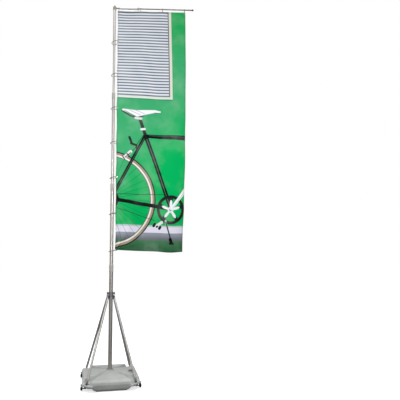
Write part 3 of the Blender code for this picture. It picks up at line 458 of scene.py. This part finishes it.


# The mast: four drawn aluminium tubes, each sliding in the one below, anodised a soft silver.
# Handling has left faint streaks along them. Their tones are painted lighter from the lowest tube up, a
# painted brightening that stands in for the light they catch.
def drawn_aluminium(name, colour, roughness, streak, metal=0.7):
    """Anodised aluminium: fine lines along the tube and faint warm stains, a little rougher.

    streak scales the place on the piece, and its small number is the way that the lines run.
    """
    made, shader, place = new_finish(name, {"Metallic": metal, "Specular IOR Level": 0.5})
    lines = place.scaled(*streak).noise(1.0, 4.0, 0.6)
    stain = place.noise(3.0, 5.0, 0.6).rise(0.35, 0.75)
    dark = tuple(c * 0.80 for c in colour[:3]) + (1.0,)
    lined = lines.rise(0.25, 0.75).blend(dark, colour)
    warm = tuple(c * k for c, k in zip(colour[:3], (0.93, 0.88, 0.82))) + (1.0,)
    (0.45 * stain).blend(lined, warm).into(shader["Base Color"])
    (roughness + 0.14 * (lines - 0.5) + 0.10 * stain).into(shader["Roughness"])
    relief(lines, 0.12, 0.0003, shader)
    return made


# painted light: the tones rise from the lowest tube to the top, a painted brightening up the mast
for tube, tone in (("mast_tube_1", 164), ("mast_tube_2", 176), ("mast_tube_3", 202),
                   ("mast_tube_4", 220), ("head_sleeve", 218)):
    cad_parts[tube].material_slots[0].material = drawn_aluminium(
        tube + "_aluminium", linear(tone, tone - 3, tone - 8), 0.42, (900, 900, 7))


# The twist locks: ribbed grips of grey nylon on the tops of the three lower tubes. A quarter
# turn wedges the tube above.
LOCK_TOPS = (1.4702, 2.5699, 3.8799)
LOWER_RADII = (0.0255, 0.02325, 0.0200)
UPPER_RADII = (0.02325, 0.0200, 0.0165)


def ribbed_grip(lower, upper, top, skirt=0.072, nose=0.020, wall=0.003, ribs=22):
    """A grip's outline carried round Z, with ribs cut into its middle stretch.

    The radius drops by the rib depth times a smoothed square wave of the angle, faded out
    towards both ends of the stretch.
    """
    outer = lower + wall
    low, high = top - skirt, top + nose
    stretch = np.linspace(low + 0.010, top - 0.004, 12)
    outside = [(outer - 0.0006, low), (outer, low + 0.001), (outer, low + 0.006)]
    outside += [(outer, z) for z in stretch]
    outside += [(outer, top + 0.002), (outer, high - 0.0035), (outer - 0.001, high - 0.001),
                (outer - 0.003, high)]
    inside = [(upper + 0.0006, high), (upper + 0.0004, high - 0.001), (upper + 0.0004, top + 0.0003),
              (lower + 0.0004, top + 0.0003), (lower + 0.0004, low)]
    profile = np.array(outside + inside + outside[:1])
    grip = lathed(profile, ribs * 8)
    angle = np.linspace(0, 2 * np.pi, ribs * 8 + 1)
    wave = np.clip(np.cos(angle * ribs) * 2.2, -1, 1) * 0.5 + 0.5
    fade = np.zeros(len(profile))
    fade[3:15] = np.clip(np.minimum(np.arange(12), np.arange(11, -1, -1)) / 1.5, 0, 1)
    radius = np.hypot(grip[..., 0], grip[..., 1])
    grip[..., :2] *= (1 - 0.0011 * fade[:, None] * wave[None] / radius)[..., None]
    grip[:, -1] = grip[:, 0]
    return grip


lock_nylon = moulded("lock_nylon", linear(168, 165, 160), 0.5)
for k, (top, lower, upper) in enumerate(zip(LOCK_TOPS, LOWER_RADII, UPPER_RADII), 1):
    lock = skin(f"twist_grip_{k}", lock_nylon, ribbed_grip(lower, upper, top))
    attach(lock, f"lock_{k}")
    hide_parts(f"twist_lock_{k}")


# The collar: a die-cast aluminium ring clamped round the lowest tube, with a fork for each
# strut. Black nylon pins hold the struts, and two wing screws bear on the tube.
def cast_aluminium():
    """Shot-blasted casting: even grey with a pebbled skin and a few dark pits."""
    made, shader, place = new_finish("cast_aluminium", {"Metallic": 0.75})
    pits = place.noise(180.0, 3.0).rise(0.62, 0.75)
    cloudy = place.noise(30.0, 4.0).rise(0.3, 0.7).blend(linear(104, 104, 106), linear(148, 148, 150))
    (0.6 * pits).blend(cloudy, linear(60, 60, 62)).into(shader["Base Color"])
    (0.42 + 0.18 * place.noise(90.0)).into(shader["Roughness"])
    relief(place.noise(700.0) - 0.5 * pits, 0.35, 0.0004, shader)
    return made


black_nylon = moulded("black_nylon", linear(42, 42, 44), 0.48)
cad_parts["strut_collar"].material_slots[0].material = cast_aluminium()
for corner, _, _ in CORNERS:
    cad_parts["collar_pin_" + corner].material_slots[0].material = black_nylon
for handle in ("clamp_handle_right", "clamp_handle_left"):
    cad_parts[handle].material_slots[0].material = black_nylon


# The struts: four round aluminium tubes with flat tangs pressed into their ends. Each hangs on
# a collar pin and braces the mast to a corner of the tank.
# painted light: the two front struts get a lighter tone and the two back ones a darker tone, lit and
# shaded copies of one aluminium
for corner, _, end in CORNERS:
    tone = 182 - 16 * end
    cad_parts["strut_" + corner].material_slots[0].material = drawn_aluminium(
        f"strut_aluminium_{corner}", linear(tone, tone - 3, tone - 6), 0.44, (260, 260, 22))


# The head: a sleeve with two nylon bushes that turns freely on the top tube, with the arm's
# fitting and a domed cap on it, so the flag can follow the wind.
head_nylon = moulded("head_nylon", linear(146, 140, 130), 0.5)
for node in ("head_bush_lower", "head_bush_upper", "arm_fitting"):
    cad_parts[node].material_slots[0].material = head_nylon
cap_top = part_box("mast_cap")[1][2]
cap_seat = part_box("mast_cap")[0][2]
DOME_RADIUS = 0.015
CAP_LIP = 0.016
dome_foot = cap_top - DOME_RADIUS - 0.0002
bend = np.linspace(0, np.pi / 2, 10)[1:]
dome = soft_corners([(0, cap_seat), (CAP_LIP, cap_seat), (CAP_LIP, dome_foot - 0.003),
                     (DOME_RADIUS, dome_foot)]
                    + list(zip(DOME_RADIUS * np.cos(bend), dome_foot + DOME_RADIUS * np.sin(bend))),
                    [0.001, 0.001, 0.001] + [0.0005] * 8)
mast_cap = skin("mast_cap_dome", head_nylon, lathed(dome))
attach(mast_cap, "head")
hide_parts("mast_cap")


# The arm: a short aluminium tube on the fitting's spigot, and a thin glass-fibre rod that
# slides in it, held by a twist lock and closed by a cap.
ARM_HEIGHT = 5.217
ARM_TUBE_END = 0.352
ARM_REACH = 1.167


def along_arm(points):
    """Points made about Z, laid along X at the arm's height: their height becomes x."""
    return points[..., [2, 0, 1]] + np.array([0, 0, ARM_HEIGHT])


def rod_fibre():
    """Dark pultruded glass fibre: fine lines along X under a worn clear coat."""
    made, shader, place = new_finish("rod_fibre", {"Coat Weight": 0.3, "Coat Roughness": 0.25})
    lines = place.scaled(9, 1100, 1100).noise(1.0, 3.0)
    lines.rise(0.3, 0.7).blend(linear(92, 88, 80), linear(132, 127, 116)).into(shader["Base Color"])
    (0.42 + 0.2 * lines).into(shader["Roughness"])
    relief(lines, 0.15, 0.0002, shader)
    return made


arm_silver = drawn_aluminium("arm_aluminium", linear(226, 224, 220), 0.60, (7, 900, 900), 0.25)
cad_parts["arm_tube"].material_slots[0].material = arm_silver
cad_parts["arm_rod"].material_slots[0].material = rod_fibre()
arm_grip = skin("arm_grip", lock_nylon,
                along_arm(ribbed_grip(0.0165, 0.009, ARM_TUBE_END, 0.018, 0.012, 0.003, 16)))
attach(arm_grip, "arm_lock")
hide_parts("arm_lock")
tip = soft_corners([(0, ARM_REACH - 0.0077), (0.0093, ARM_REACH - 0.0077), (0.0093, ARM_REACH - 0.022),
                    (0.0115, ARM_REACH - 0.022), (0.0115, ARM_REACH - 0.004),
                    (0.0075, ARM_REACH), (0, ARM_REACH)], [0.0005, 0.0005, 0.001, 0.003, 0.003])
arm_tip = skin("arm_tip", black_nylon, along_arm(lathed(tip)))
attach(arm_tip, "arm_rod")
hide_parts("arm_end_cap")


# The hangers: long black nylon links. Each goes over the arm and through an eyelet in the
# flag's top hem.
FLAG_TOP = 5.170
FLAG_HEIGHT = 3.500
FLAG_WIDTH = 1.000
FLAG_EDGE = 0.045
EYELET_INSET = 0.0155
EYELET_LINE = FLAG_EDGE + EYELET_INSET
HANGER_PLACES = EYELET_LINE + (FLAG_WIDTH - 2 * EYELET_INSET) * np.arange(4) / 3


def rod_along(path, radius, sides=12):
    """A round rod along a closed path of points, with its ends joined.

    Each section is a circle about the path: the normal lies across the path's direction and the
    way to its middle, and the point is the path plus the radius times the cosine of the angle
    on one side and its sine on the other.
    """
    path = np.asarray(path, float)
    ahead = np.roll(path, -1, 0) - np.roll(path, 1, 0)
    ahead /= np.linalg.norm(ahead, axis=1, keepdims=True)
    inwards = path.mean(0) - path
    across = np.cross(ahead, inwards)
    across /= np.linalg.norm(across, axis=1, keepdims=True)
    outwards = np.cross(ahead, across)
    angle = np.linspace(0, 2 * np.pi, sides + 1)
    angle[-1] = 0.0
    thick = np.broadcast_to(np.asarray(radius, float), (len(path),))[:, None, None]
    rod = (path[:, None] + thick * (np.cos(angle)[None, :, None] * across[:, None]
                                    + np.sin(angle)[None, :, None] * outwards[:, None]))
    return np.concatenate([rod, rod[:1]])


link_bend = 0.0125
LINK_WIRE = 0.0025
ARM_ROD_RADIUS = 0.009
LINK_PLAY = 0.0003
link_high = ARM_ROD_RADIUS + LINK_PLAY + LINK_WIRE - link_bend
link_low = FLAG_TOP - 0.013 - ARM_HEIGHT + link_bend
around = np.linspace(0, np.pi, 13)
link_path = np.concatenate([
    np.stack([0 * around, link_bend * np.cos(around), link_high + link_bend * np.sin(around)], -1),
    np.stack([0 * around, -link_bend * np.cos(around), link_low - link_bend * np.sin(around)], -1)])
for k, distance in enumerate(HANGER_PLACES, 1):
    link = skin(f"hanger_link_{k}", black_nylon,
                rod_along(link_path + np.array([distance, 0, ARM_HEIGHT]), LINK_WIRE))
    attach(link, "head")
    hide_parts(f"arm_hanger_{k}")


# The mast rings: stiff dark grey nylon hoops round the mast. Each goes through an eyelet in the
# flag's near hem and hangs tilted from it.
RING_RADIUS = 0.0500
RING_WIRE = 0.0042
RING_TILT = math.radians(14)
RING_HEIGHTS = FLAG_TOP - FLAG_HEIGHT + 0.004 + 0.5 * np.arange(7)
RING_MIDDLE = EYELET_LINE + 0.0013 - RING_RADIUS * math.cos(RING_TILT)

ring_nylon = moulded("ring_nylon", linear(74, 70, 64), 0.5, 800.0)
ring_turns = np.linspace(0, 2 * np.pi, 72, endpoint=False)
hoop = np.stack([RING_RADIUS * np.cos(ring_turns) * math.cos(RING_TILT),
                 RING_RADIUS * np.sin(ring_turns),
                 RING_RADIUS * np.cos(ring_turns) * math.sin(RING_TILT)], -1)
from_clasp = np.abs(ring_turns - np.pi)
hoop_thickness = RING_WIRE * (0.86 + 0.14 * np.exp(-(from_clasp / 0.12) ** 4))
for k, height in enumerate(RING_HEIGHTS, 1):
    ring = skin(f"ring_hoop_{k}", ring_nylon,
                rod_along(hoop + np.array([RING_MIDDLE, 0, height]), hoop_thickness))
    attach(ring, f"ring_{k}")
    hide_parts(f"mast_ring_{k}")


# The flag: knitted polyester, printed through from the front, with a doubled hem on every side.
# Its top is flat along the arm. Lower down it has swung back about its eyelets and hangs in
# slow ripples, with puckers between the rings.
FLAG_SWING = math.radians(17.5)
HEM = 0.022


def swing_at(down):
    """The flag's turn about its eyelets, growing with the distance down to the power 1.35."""
    return FLAG_SWING * np.clip(down, 0, 1) ** 1.35


def hung_cloth(across, down):
    """A point of the cloth, for shares across and down it.

    The eyelet line plus the reach times (cos, sin) of the swing, moved along the cloth's own
    normal by ripples. These are sines of the distance across whose phase drifts downwards,
    fading in with the distance down and fading out at the eyelets. The top hem dips between the
    hangers and the near hem draws in between the rings, each by a squared sine. The far hem
    sways in and out by slow sines of the height.
    """
    reach = FLAG_WIDTH * across - EYELET_INSET
    drop = FLAG_HEIGHT * down
    swing = swing_at(down)
    free = 1 - np.exp(-np.maximum(reach, 0) / 0.10)
    near = np.exp(-(FLAG_WIDTH * across) / 0.07)
    from_ring = np.sin(np.pi * (FLAG_HEIGHT - drop - 0.016) / 0.5) ** 2
    ripple = free * (0.020 * down ** 1.6 * np.sin(2 * np.pi * (1.25 * across + 0.45 * down + 0.30))
                     + 0.009 * down * np.sin(2 * np.pi * (2.6 * across - 0.8 * down))
                     + 0.004 * np.sin(2 * np.pi * (0.9 * across + 1.7 * down + 0.2))
                     + 0.016 * across ** 2 * down * np.sin(2 * np.pi * (2.1 * down + 0.15)))
    corner = np.hypot(FLAG_WIDTH * across, FLAG_HEIGHT * (1 - down))
    fan = np.arctan2(FLAG_HEIGHT * (1 - down), FLAG_WIDTH * across + 1e-6)
    ripple += 0.013 * (1 - np.exp(-corner / 0.06)) * np.exp(-corner / 0.22) * np.sin(11 * fan)
    ripple += 0.0035 * near * from_ring * np.sin(2 * np.pi * down * 21)
    along = np.clip((FLAG_WIDTH * across - EYELET_INSET) / (FLAG_WIDTH - 2 * EYELET_INSET), 0, 1)
    dip = 0.004 * np.sin(3 * np.pi * along) ** 2 * np.exp(-drop / 0.10)
    dip -= 0.008 * np.exp(-(drop / 0.012) ** 2)
    foot = np.exp(-(FLAG_HEIGHT - drop) / 0.30)
    lift = foot * (0.024 * np.exp(-across / 0.30) * np.clip(across / 0.04, 0.5, 1)
                   - 0.016 * np.exp(-((across - 0.80) / 0.16) ** 2) - 0.006)
    sway = across ** 3 * down * (0.006 * np.sin(2 * np.pi * (2.3 * down - 0.1))
                                 - 0.014 * down ** 2 + 0.004 * np.sin(2 * np.pi * 5.1 * down))
    pull = 0.006 * near * from_ring + sway
    x = EYELET_LINE + (reach + pull) * np.cos(swing) - ripple * np.sin(swing)
    y = (reach + pull) * np.sin(swing) + ripple * np.cos(swing)
    return np.stack([x, y, FLAG_TOP - drop - dip + lift], -1)


def stroke(across, up, start, end, width, taper=0.0):
    """1 on a straight bar between two places on the print, 0 off it.

    The nearest place on the line is at the share h of the way, from 0 to 1: the dot product of
    the way to the point with the line, over the line's length squared. The bar is where the
    distance to it is under half the width, which grows by the taper along the bar.
    """
    run, rise = end[0] - start[0], end[1] - start[1]
    x, y = across - start[0], up - start[1]
    share = (x * run + y * rise) / (run * run + rise * rise)
    share = share.node("ShaderNodeClamp", None, {"Value": share})
    dx, dy = x - share * run, y - share * rise
    distance = (dx * dx + dy * dy).maths("SQRT")
    edge = distance - share * (taper / 2) if taper else distance
    return 1 - edge.rise(width / 2 - 0.002, width / 2 + 0.002)


def strip(value, low, high, soft=0.002):
    """1 between two values, 0 outside them."""
    return value.rise(low - soft, low + soft) * (1 - value.rise(high - soft, high + soft))


def printed_polyester():
    """The flag's print over a fine knit: a bicycle by a green wall, under a louvred window."""
    made, shader, place = new_finish("printed_polyester", {"Specular IOR Level": 0.04}, "UV")
    u, v, _ = place.split()
    across, up = u * FLAG_WIDTH, v * FLAG_HEIGHT
    metres = place.scaled(FLAG_WIDTH, FLAG_HEIGHT, 1)
    wall_light = linear(58, 160, 104)
    wall_deep = linear(0, 166, 86)
    depth = (across * 0.9 + (1.75 - up) * 0.75 + 0.35 * (metres.noise(2.2, 2.0) - 0.5))
    colour = depth.rise(0.25, 1.15).blend(wall_light, wall_deep)
    colour = (0.85 * up.rise(2.6, 3.4)).blend(colour, linear(20, 158, 78))

    # the louvred window, its frame and its sill
    side_of_frame = across - 0.748 - (3.488 - up) * 0.018
    window = (1 - side_of_frame.rise(-0.002, 0.002)) * up.rise(2.205, 2.21)
    slat = ((up + 0.012) / 0.0437).maths("FRACT")
    slats = slat.node("ShaderNodeValToRGB", {"stops": [
        (0.0, linear(74, 78, 86)), (0.16, linear(80, 84, 92)), (0.27, linear(172, 177, 185)),
        (0.40, linear(214, 219, 226)), (0.76, linear(210, 215, 222)), (0.88, linear(152, 157, 165)),
        (1.0, linear(74, 78, 86))]}, {"Fac": slat})
    colour = window.blend(colour, slats)
    frame_up = up.rise(2.170, 2.174)
    colour = (strip(side_of_frame, -0.014, 0.002) * frame_up).blend(colour, linear(112, 112, 122))
    colour = (strip(side_of_frame, 0.002, 0.038) * frame_up).blend(colour, linear(210, 207, 194))
    sill = strip(up, 2.172, 2.206) * (1 - side_of_frame.rise(0.036, 0.040))
    colour = sill.blend(colour, linear(208, 213, 208))
    under_sill = strip(up, 2.158, 2.172, 0.004) * (1 - side_of_frame.rise(0.036, 0.040))
    colour = (0.75 * under_sill).blend(colour, linear(38, 110, 70))

    # the skirting, the kerb and the floor
    colour = strip(up, 0.256, 0.357).blend(colour, linear(214, 211, 226))
    colour = strip(up, 0.340, 0.360).blend(colour, linear(170, 190, 186))
    kerb = up.rise(0.150, 0.256).blend(linear(96, 104, 108), linear(140, 144, 156))
    colour = strip(up, 0.150, 0.256).blend(colour, kerb)
    floor = (metres.noise(9.0, 4.0) * 0.6 + up * 3).rise(0.2, 0.9).blend(linear(40, 92, 58),
                                                                        linear(66, 116, 80))
    colour = (1 - up.rise(0.148, 0.152)).blend(colour, floor)

    # the wheel: spokes, a pale rim, a tan side wall and a black tread
    black, dark = linear(9, 13, 14), linear(30, 40, 38)
    x, y = across + 0.106, up - 0.703
    radius = (x * x + y * y).maths("SQRT")
    turn = y.maths("ARCTAN2", x)
    fraction = ((turn / math.radians(10.0)) + 0.35 + 0.25 * (radius.maths("MULTIPLY", 1.6))).maths("FRACT")
    spoke = (fraction - 0.5).maths("ABSOLUTE") * math.radians(10.0) * radius
    spokes = (1 - spoke.rise(0.0008, 0.0042)) * (1 - radius.rise(0.60, 0.604))
    colour = (0.62 * spokes).blend(colour, dark)
    colour = strip(radius, 0.604, 0.676).blend(colour, linear(150, 138, 118))
    colour = strip(radius, 0.612, 0.634).blend(colour, linear(222, 220, 214))
    colour = strip(radius, 0.600, 0.608).blend(colour, linear(84, 84, 78))
    colour = strip(radius, 0.663, 0.680).blend(colour, linear(34, 36, 34))
    colour = (1 - radius.rise(0.145, 0.150)).blend(colour, black)

    # the chain, the stays and the tubes
    bar_at = lambda start, end, width, taper=0.0: stroke(across, up, start, end, width, taper)
    for start, end in (((0.0, 0.777), (0.695, 0.792)), ((0.0, 0.590), (0.574, 0.424))):
        colour = (0.8 * bar_at(start, end, 0.010)).blend(colour, dark)
    colour = bar_at((0.0, 0.700), (0.735, 0.605), 0.052).blend(colour, black)
    colour = bar_at((0.406, 1.615), (0.0, 0.830), 0.044).blend(colour, black)
    colour = (0.5 * bar_at((0.400, 1.590), (0.010, 0.845), 0.008)).blend(colour, linear(90, 118, 108))
    colour = bar_at((0.425, 1.600), (0.805, 0.592), 0.060).blend(colour, black)
    colour = (0.6 * bar_at((0.432, 1.580), (0.800, 0.600), 0.012)).blend(colour, linear(96, 122, 112))
    colour = bar_at((0.420, 1.618), (1.02, 1.621), 0.050, 0.020).blend(colour, black)
    colour = (0.5 * bar_at((0.47, 1.629), (1.02, 1.634), 0.010)).blend(colour, linear(84, 104, 98))
    colour = bar_at((0.328, 1.885), (0.425, 1.600), 0.046).blend(colour, black)

    # the saddle on its post, with its clamps
    silver, shade = linear(228, 230, 234), linear(150, 154, 164)
    for start, end in (((0.080, 1.975), (0.200, 1.905)), ((0.200, 1.905), (0.300, 1.884)),
                       ((0.300, 1.884), (0.372, 1.912)), ((0.372, 1.912), (0.450, 1.962))):
        colour = bar_at(start, end, 0.022).blend(colour, linear(30, 34, 38))
    colour = bar_at((0.095, 1.990), (0.300, 1.946), 0.030, 0.062).blend(colour, silver)
    colour = bar_at((0.300, 1.948), (0.560, 1.990), 0.094, -0.054).blend(colour, silver)
    colour = bar_at((0.540, 1.988), (0.622, 1.984), 0.040, -0.012).blend(colour, silver)
    for start, end, width, tone in (((0.110, 1.982), (0.270, 1.905), 0.010, dark),
                                    ((0.185, 1.990), (0.345, 1.925), 0.009, shade),
                                    ((0.270, 1.995), (0.400, 1.945), 0.009, shade),
                                    ((0.360, 1.915), (0.545, 1.966), 0.009, shade),
                                    ((0.545, 1.966), (0.625, 1.968), 0.010, dark)):
        colour = (0.8 * bar_at(start, end, width)).blend(colour, tone)
    colour = bar_at((0.272, 1.880), (0.352, 1.872), 0.034).blend(colour, linear(206, 208, 212))
    colour = bar_at((0.356, 1.716), (0.402, 1.722), 0.032).blend(colour, linear(220, 222, 226))

    # the brake on the stay
    for start, end, width in (((0.186, 1.592), (0.216, 1.515), 0.034),
                              ((0.212, 1.505), (0.288, 1.480), 0.034),
                              ((0.286, 1.486), (0.288, 1.425), 0.020),
                              ((0.296, 1.500), (0.392, 1.640), 0.008),
                              ((0.230, 1.395), (0.300, 1.480), 0.008)):
        colour = bar_at(start, end, width).blend(colour, linear(24, 32, 30))
    colour = bar_at((0.108, 1.292), (0.205, 1.384), 0.046).blend(colour, linear(206, 210, 212))
    for start, end, width in (((0.088, 1.318), (0.118, 1.270), 0.014),
                              ((0.128, 1.300), (0.206, 1.368), 0.012),
                              ((0.150, 1.352), (0.182, 1.322), 0.016)):
        colour = bar_at(start, end, width).blend(colour, dark)

    # the chain wheel, its spider, the crank, the pedal and the stand
    x, y = across - 0.797, up - 0.584
    radius = (x * x + y * y).maths("SQRT")
    turn = y.maths("ARCTAN2", x)
    lobes = (turn * 5 - 1.353).maths("COSINE")
    colour = strip(radius, 0.160, 0.204).blend(colour, linear(26, 30, 28))
    colour = (strip(radius, 0.118, 0.172) * lobes.rise(0.45, 0.8)).blend(colour, linear(30, 34, 32))
    spider = 1 - (radius + 0.090 * (1 - lobes)).rise(0.134, 0.140)
    colour = spider.blend(colour, linear(224, 228, 230))
    colour = (1 - radius.rise(0.040, 0.044)).blend(colour, linear(216, 220, 223))
    colour = (1 - radius.rise(0.016, 0.020)).blend(colour, linear(120, 96, 104))
    colour = bar_at((0.806, 0.598), (1.01, 0.862), 0.040, 0.016).blend(colour, linear(226, 229, 232))
    colour = (0.6 * bar_at((0.835, 0.620), (1.01, 0.845), 0.010)).blend(colour, linear(162, 168, 176))
    for start, end, width, tone in (((0.590, 0.352), (0.672, 0.404), 0.040, linear(214, 216, 220)),
                                    ((0.553, 0.352), (0.568, 0.376), 0.038, black),
                                    ((0.636, 0.318), (0.650, 0.338), 0.038, black),
                                    ((0.596, 0.338), (0.604, 0.346), 0.026, black),
                                    ((0.728, 0.425), (0.756, 0.330), 0.028, linear(190, 196, 196)),
                                    ((0.735, 0.405), (0.812, 0.170), 0.020, linear(52, 62, 60)),
                                    ((0.804, 0.176), (0.822, 0.128), 0.044, black),
                                    ((0.795, 0.118), (0.850, 0.116), 0.022, black)):
        colour = bar_at(start, end, width).blend(colour, tone)

    # hems: two layers are a little deeper in colour, with a stitched line along their edge
    edge = u.maths("MINIMUM", 1 - u) * FLAG_WIDTH
    edge = edge.maths("MINIMUM", (v.maths("MINIMUM", 1 - v)) * FLAG_HEIGHT)
    hem = 1 - edge.rise(HEM - 0.001, HEM + 0.001)
    stitch = strip(edge, HEM - 0.0035, HEM - 0.0020, 0.0005) * (
        (across + up) / 0.004).maths("FRACT").rise(0.25, 0.4)
    # painted highlight: pale patches over the print where soft folds catch the light
    fold_highlight = metres.noise(3.0, 3.0)
    colour = (0.14 * hem + 0.25 * stitch).blend(colour, linear(40, 52, 48))
    colour = (0.10 * fold_highlight.rise(0.4, 0.75)).blend(colour, linear(230, 236, 232))
    colour.into(shader["Base Color"])
    (0.74 + 0.10 * metres.noise(30.0)).into(shader["Roughness"])
    knit = (across * 3900).maths("SINE") * (up * 3900).maths("SINE")
    relief(knit * 0.12 + 0.9 * hem - 0.5 * stitch + 0.8 * metres.noise(14.0, 4.0), 0.5, 0.0006, shader)
    return made


across, down = np.meshgrid(np.linspace(0, 1, 111), np.linspace(0, 1, 321))
cloth = np.concatenate([hung_cloth(across, down), across[..., None], 1 - down[..., None]], -1)
flag = skin("flag_cloth", printed_polyester(), cloth)
thickness = flag.modifiers.new("two faces", "SOLIDIFY")
thickness.thickness = 0.0006
thickness.offset = 0.0


# The eyelets: pressed nickel rings through the hems, one at each mast ring and each hanger.
# Those on the near hem travel with their rings.
def eyelet(place, swing):
    """A pressed ring, its hollow round section carried round the cloth's normal at a place."""
    section = [(0.0055, -0.0006), (0.0060, -0.0016), (0.0080, -0.0019), (0.0104, -0.0010),
               (0.0106, 0.0), (0.0104, 0.0010), (0.0080, 0.0019), (0.0060, 0.0016),
               (0.0055, 0.0006), (0.0055, -0.0006)]
    ring = lathed(section, 32)
    across, depth, height = ring[..., 0], ring[..., 2], ring[..., 1]
    return np.stack([place[0] + across * math.cos(swing) - depth * math.sin(swing),
                     place[1] + across * math.sin(swing) + depth * math.cos(swing),
                     place[2] + height], -1)


nickel = plated("nickel", linear(196, 192, 184), 0.26)
ring_lift = RING_RADIUS * math.sin(RING_TILT)
for k, height in enumerate(RING_HEIGHTS + ring_lift, 1):
    swing = float(swing_at((FLAG_TOP - height) / FLAG_HEIGHT))
    piece = skin(f"ring_eyelet_{k}", nickel, eyelet((EYELET_LINE, 0, height), swing))
    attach(piece, f"ring_{k}")
for k, distance in enumerate(HANGER_PLACES, 1):
    piece = skin(f"hanger_eyelet_{k}", nickel, eyelet((distance, 0, FLAG_TOP - 0.0162), 0.0))
    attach(piece, "head")
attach(flag, "head")
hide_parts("flag")
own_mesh(flag)


# The studio: a pale floor, a white surround that is dimmer to light than to sight, a wide soft
# lamp overhead, one at the left, one for each face of the flag, and a low camera in front.
def studio_lamp(name, at, aim, width, power, spread=180):
    """A square lamp at a place, turned to face another."""
    lamp = bpy.data.lights.new(name, "AREA")
    lamp.size = width
    lamp.energy = power
    lamp.spread = math.radians(spread)
    holder = bpy.data.objects.new(name, lamp)
    holder.location = at
    way = np.array(aim, float) - np.array(at, float)
    holder.rotation_euler = (math.atan2(math.hypot(way[0], way[1]), -way[2]),
                             0, math.atan2(way[1], way[0]) - math.pi / 2)
    bpy.context.scene.collection.objects.link(holder)


pale, shader, place = new_finish("studio_floor", {
    "Roughness": 0.9, "Specular IOR Level": 0.1, "Emission Color": (1, 1, 1, 1),
    "Emission Strength": 0.55})
place.noise(0.7, 2.0).blend(linear(246, 246, 246), linear(250, 250, 250)).into(shader["Base Color"])
floor_x, floor_y = np.meshgrid(np.linspace(-40, 40, 5), np.linspace(-40, 40, 5))
studio_floor = skin("studio_floor", pale, np.stack([floor_x, floor_y, 0 * floor_x - 0.0005], -1))
studio_floor.visible_diffuse = False
studio_floor.visible_glossy = False

world = bpy.data.worlds.new("white surround")
world.use_nodes = True
surround = world.node_tree.nodes["Background"].inputs
direction = Wire(world.node_tree.nodes.new("ShaderNodeTexCoord").outputs["Generated"])
seen_directly = Wire(world.node_tree.nodes.new("ShaderNodeLightPath").outputs["Is Camera Ray"])
glow = direction.split()[2].node("ShaderNodeValToRGB", {"stops": [
    (0.0, (0.08, 0.08, 0.08, 1)), (0.45, (0.13, 0.13, 0.13, 1)), (0.53, (0.33, 0.33, 0.34, 1)),
    (0.75, (0.44, 0.45, 0.46, 1)), (1.0, (0.60, 0.61, 0.62, 1))]},
    {"Fac": direction.split()[2] * 0.5 + 0.5 - 0.03 * direction.split()[0]})
seen_directly.blend(glow, (1.0, 1.0, 1.0, 1.0)).into(surround["Color"])
bpy.context.scene.world = world
bpy.context.scene.view_settings.view_transform = "Standard"
studio_lamp("overhead", (0.3, -0.8, 8.5), (0.3, -0.3, 0), 4.0, 260)
studio_lamp("left", (-4.5, -3.0, 3.2), (0, 0, 2.4), 1.6, 36)
studio_lamp("flag lamp", (1.4, -7.0, 2.9), (0.5, 0, 2.9), 2.0, 70, 72)
studio_lamp("behind", (0.2, 7.0, 3.6), (0.4, 0, 3.6), 2.5, 40, 36)

LOOKING_UP = 0.143
ARM_AWAY = math.radians(2.3)
CAMERA_SIDE = 0.49
CAMERA_BACK = 5.161
CAMERA_HEIGHT = 1.619
view = bpy.data.cameras.new("view")
view.sensor_width = 36.0
view.lens = 34.317
view.shift_x = 0.13
view.clip_end = 200.0
camera = bpy.data.objects.new("view", view)
camera.location = (CAMERA_SIDE * math.cos(ARM_AWAY) - CAMERA_BACK * math.sin(ARM_AWAY),
                   -CAMERA_SIDE * math.sin(ARM_AWAY) - CAMERA_BACK * math.cos(ARM_AWAY),
                   CAMERA_HEIGHT)
camera.rotation_euler = (math.pi / 2 + LOOKING_UP, 0, -ARM_AWAY)
bpy.context.scene.collection.objects.link(camera)
bpy.context.scene.camera = camera
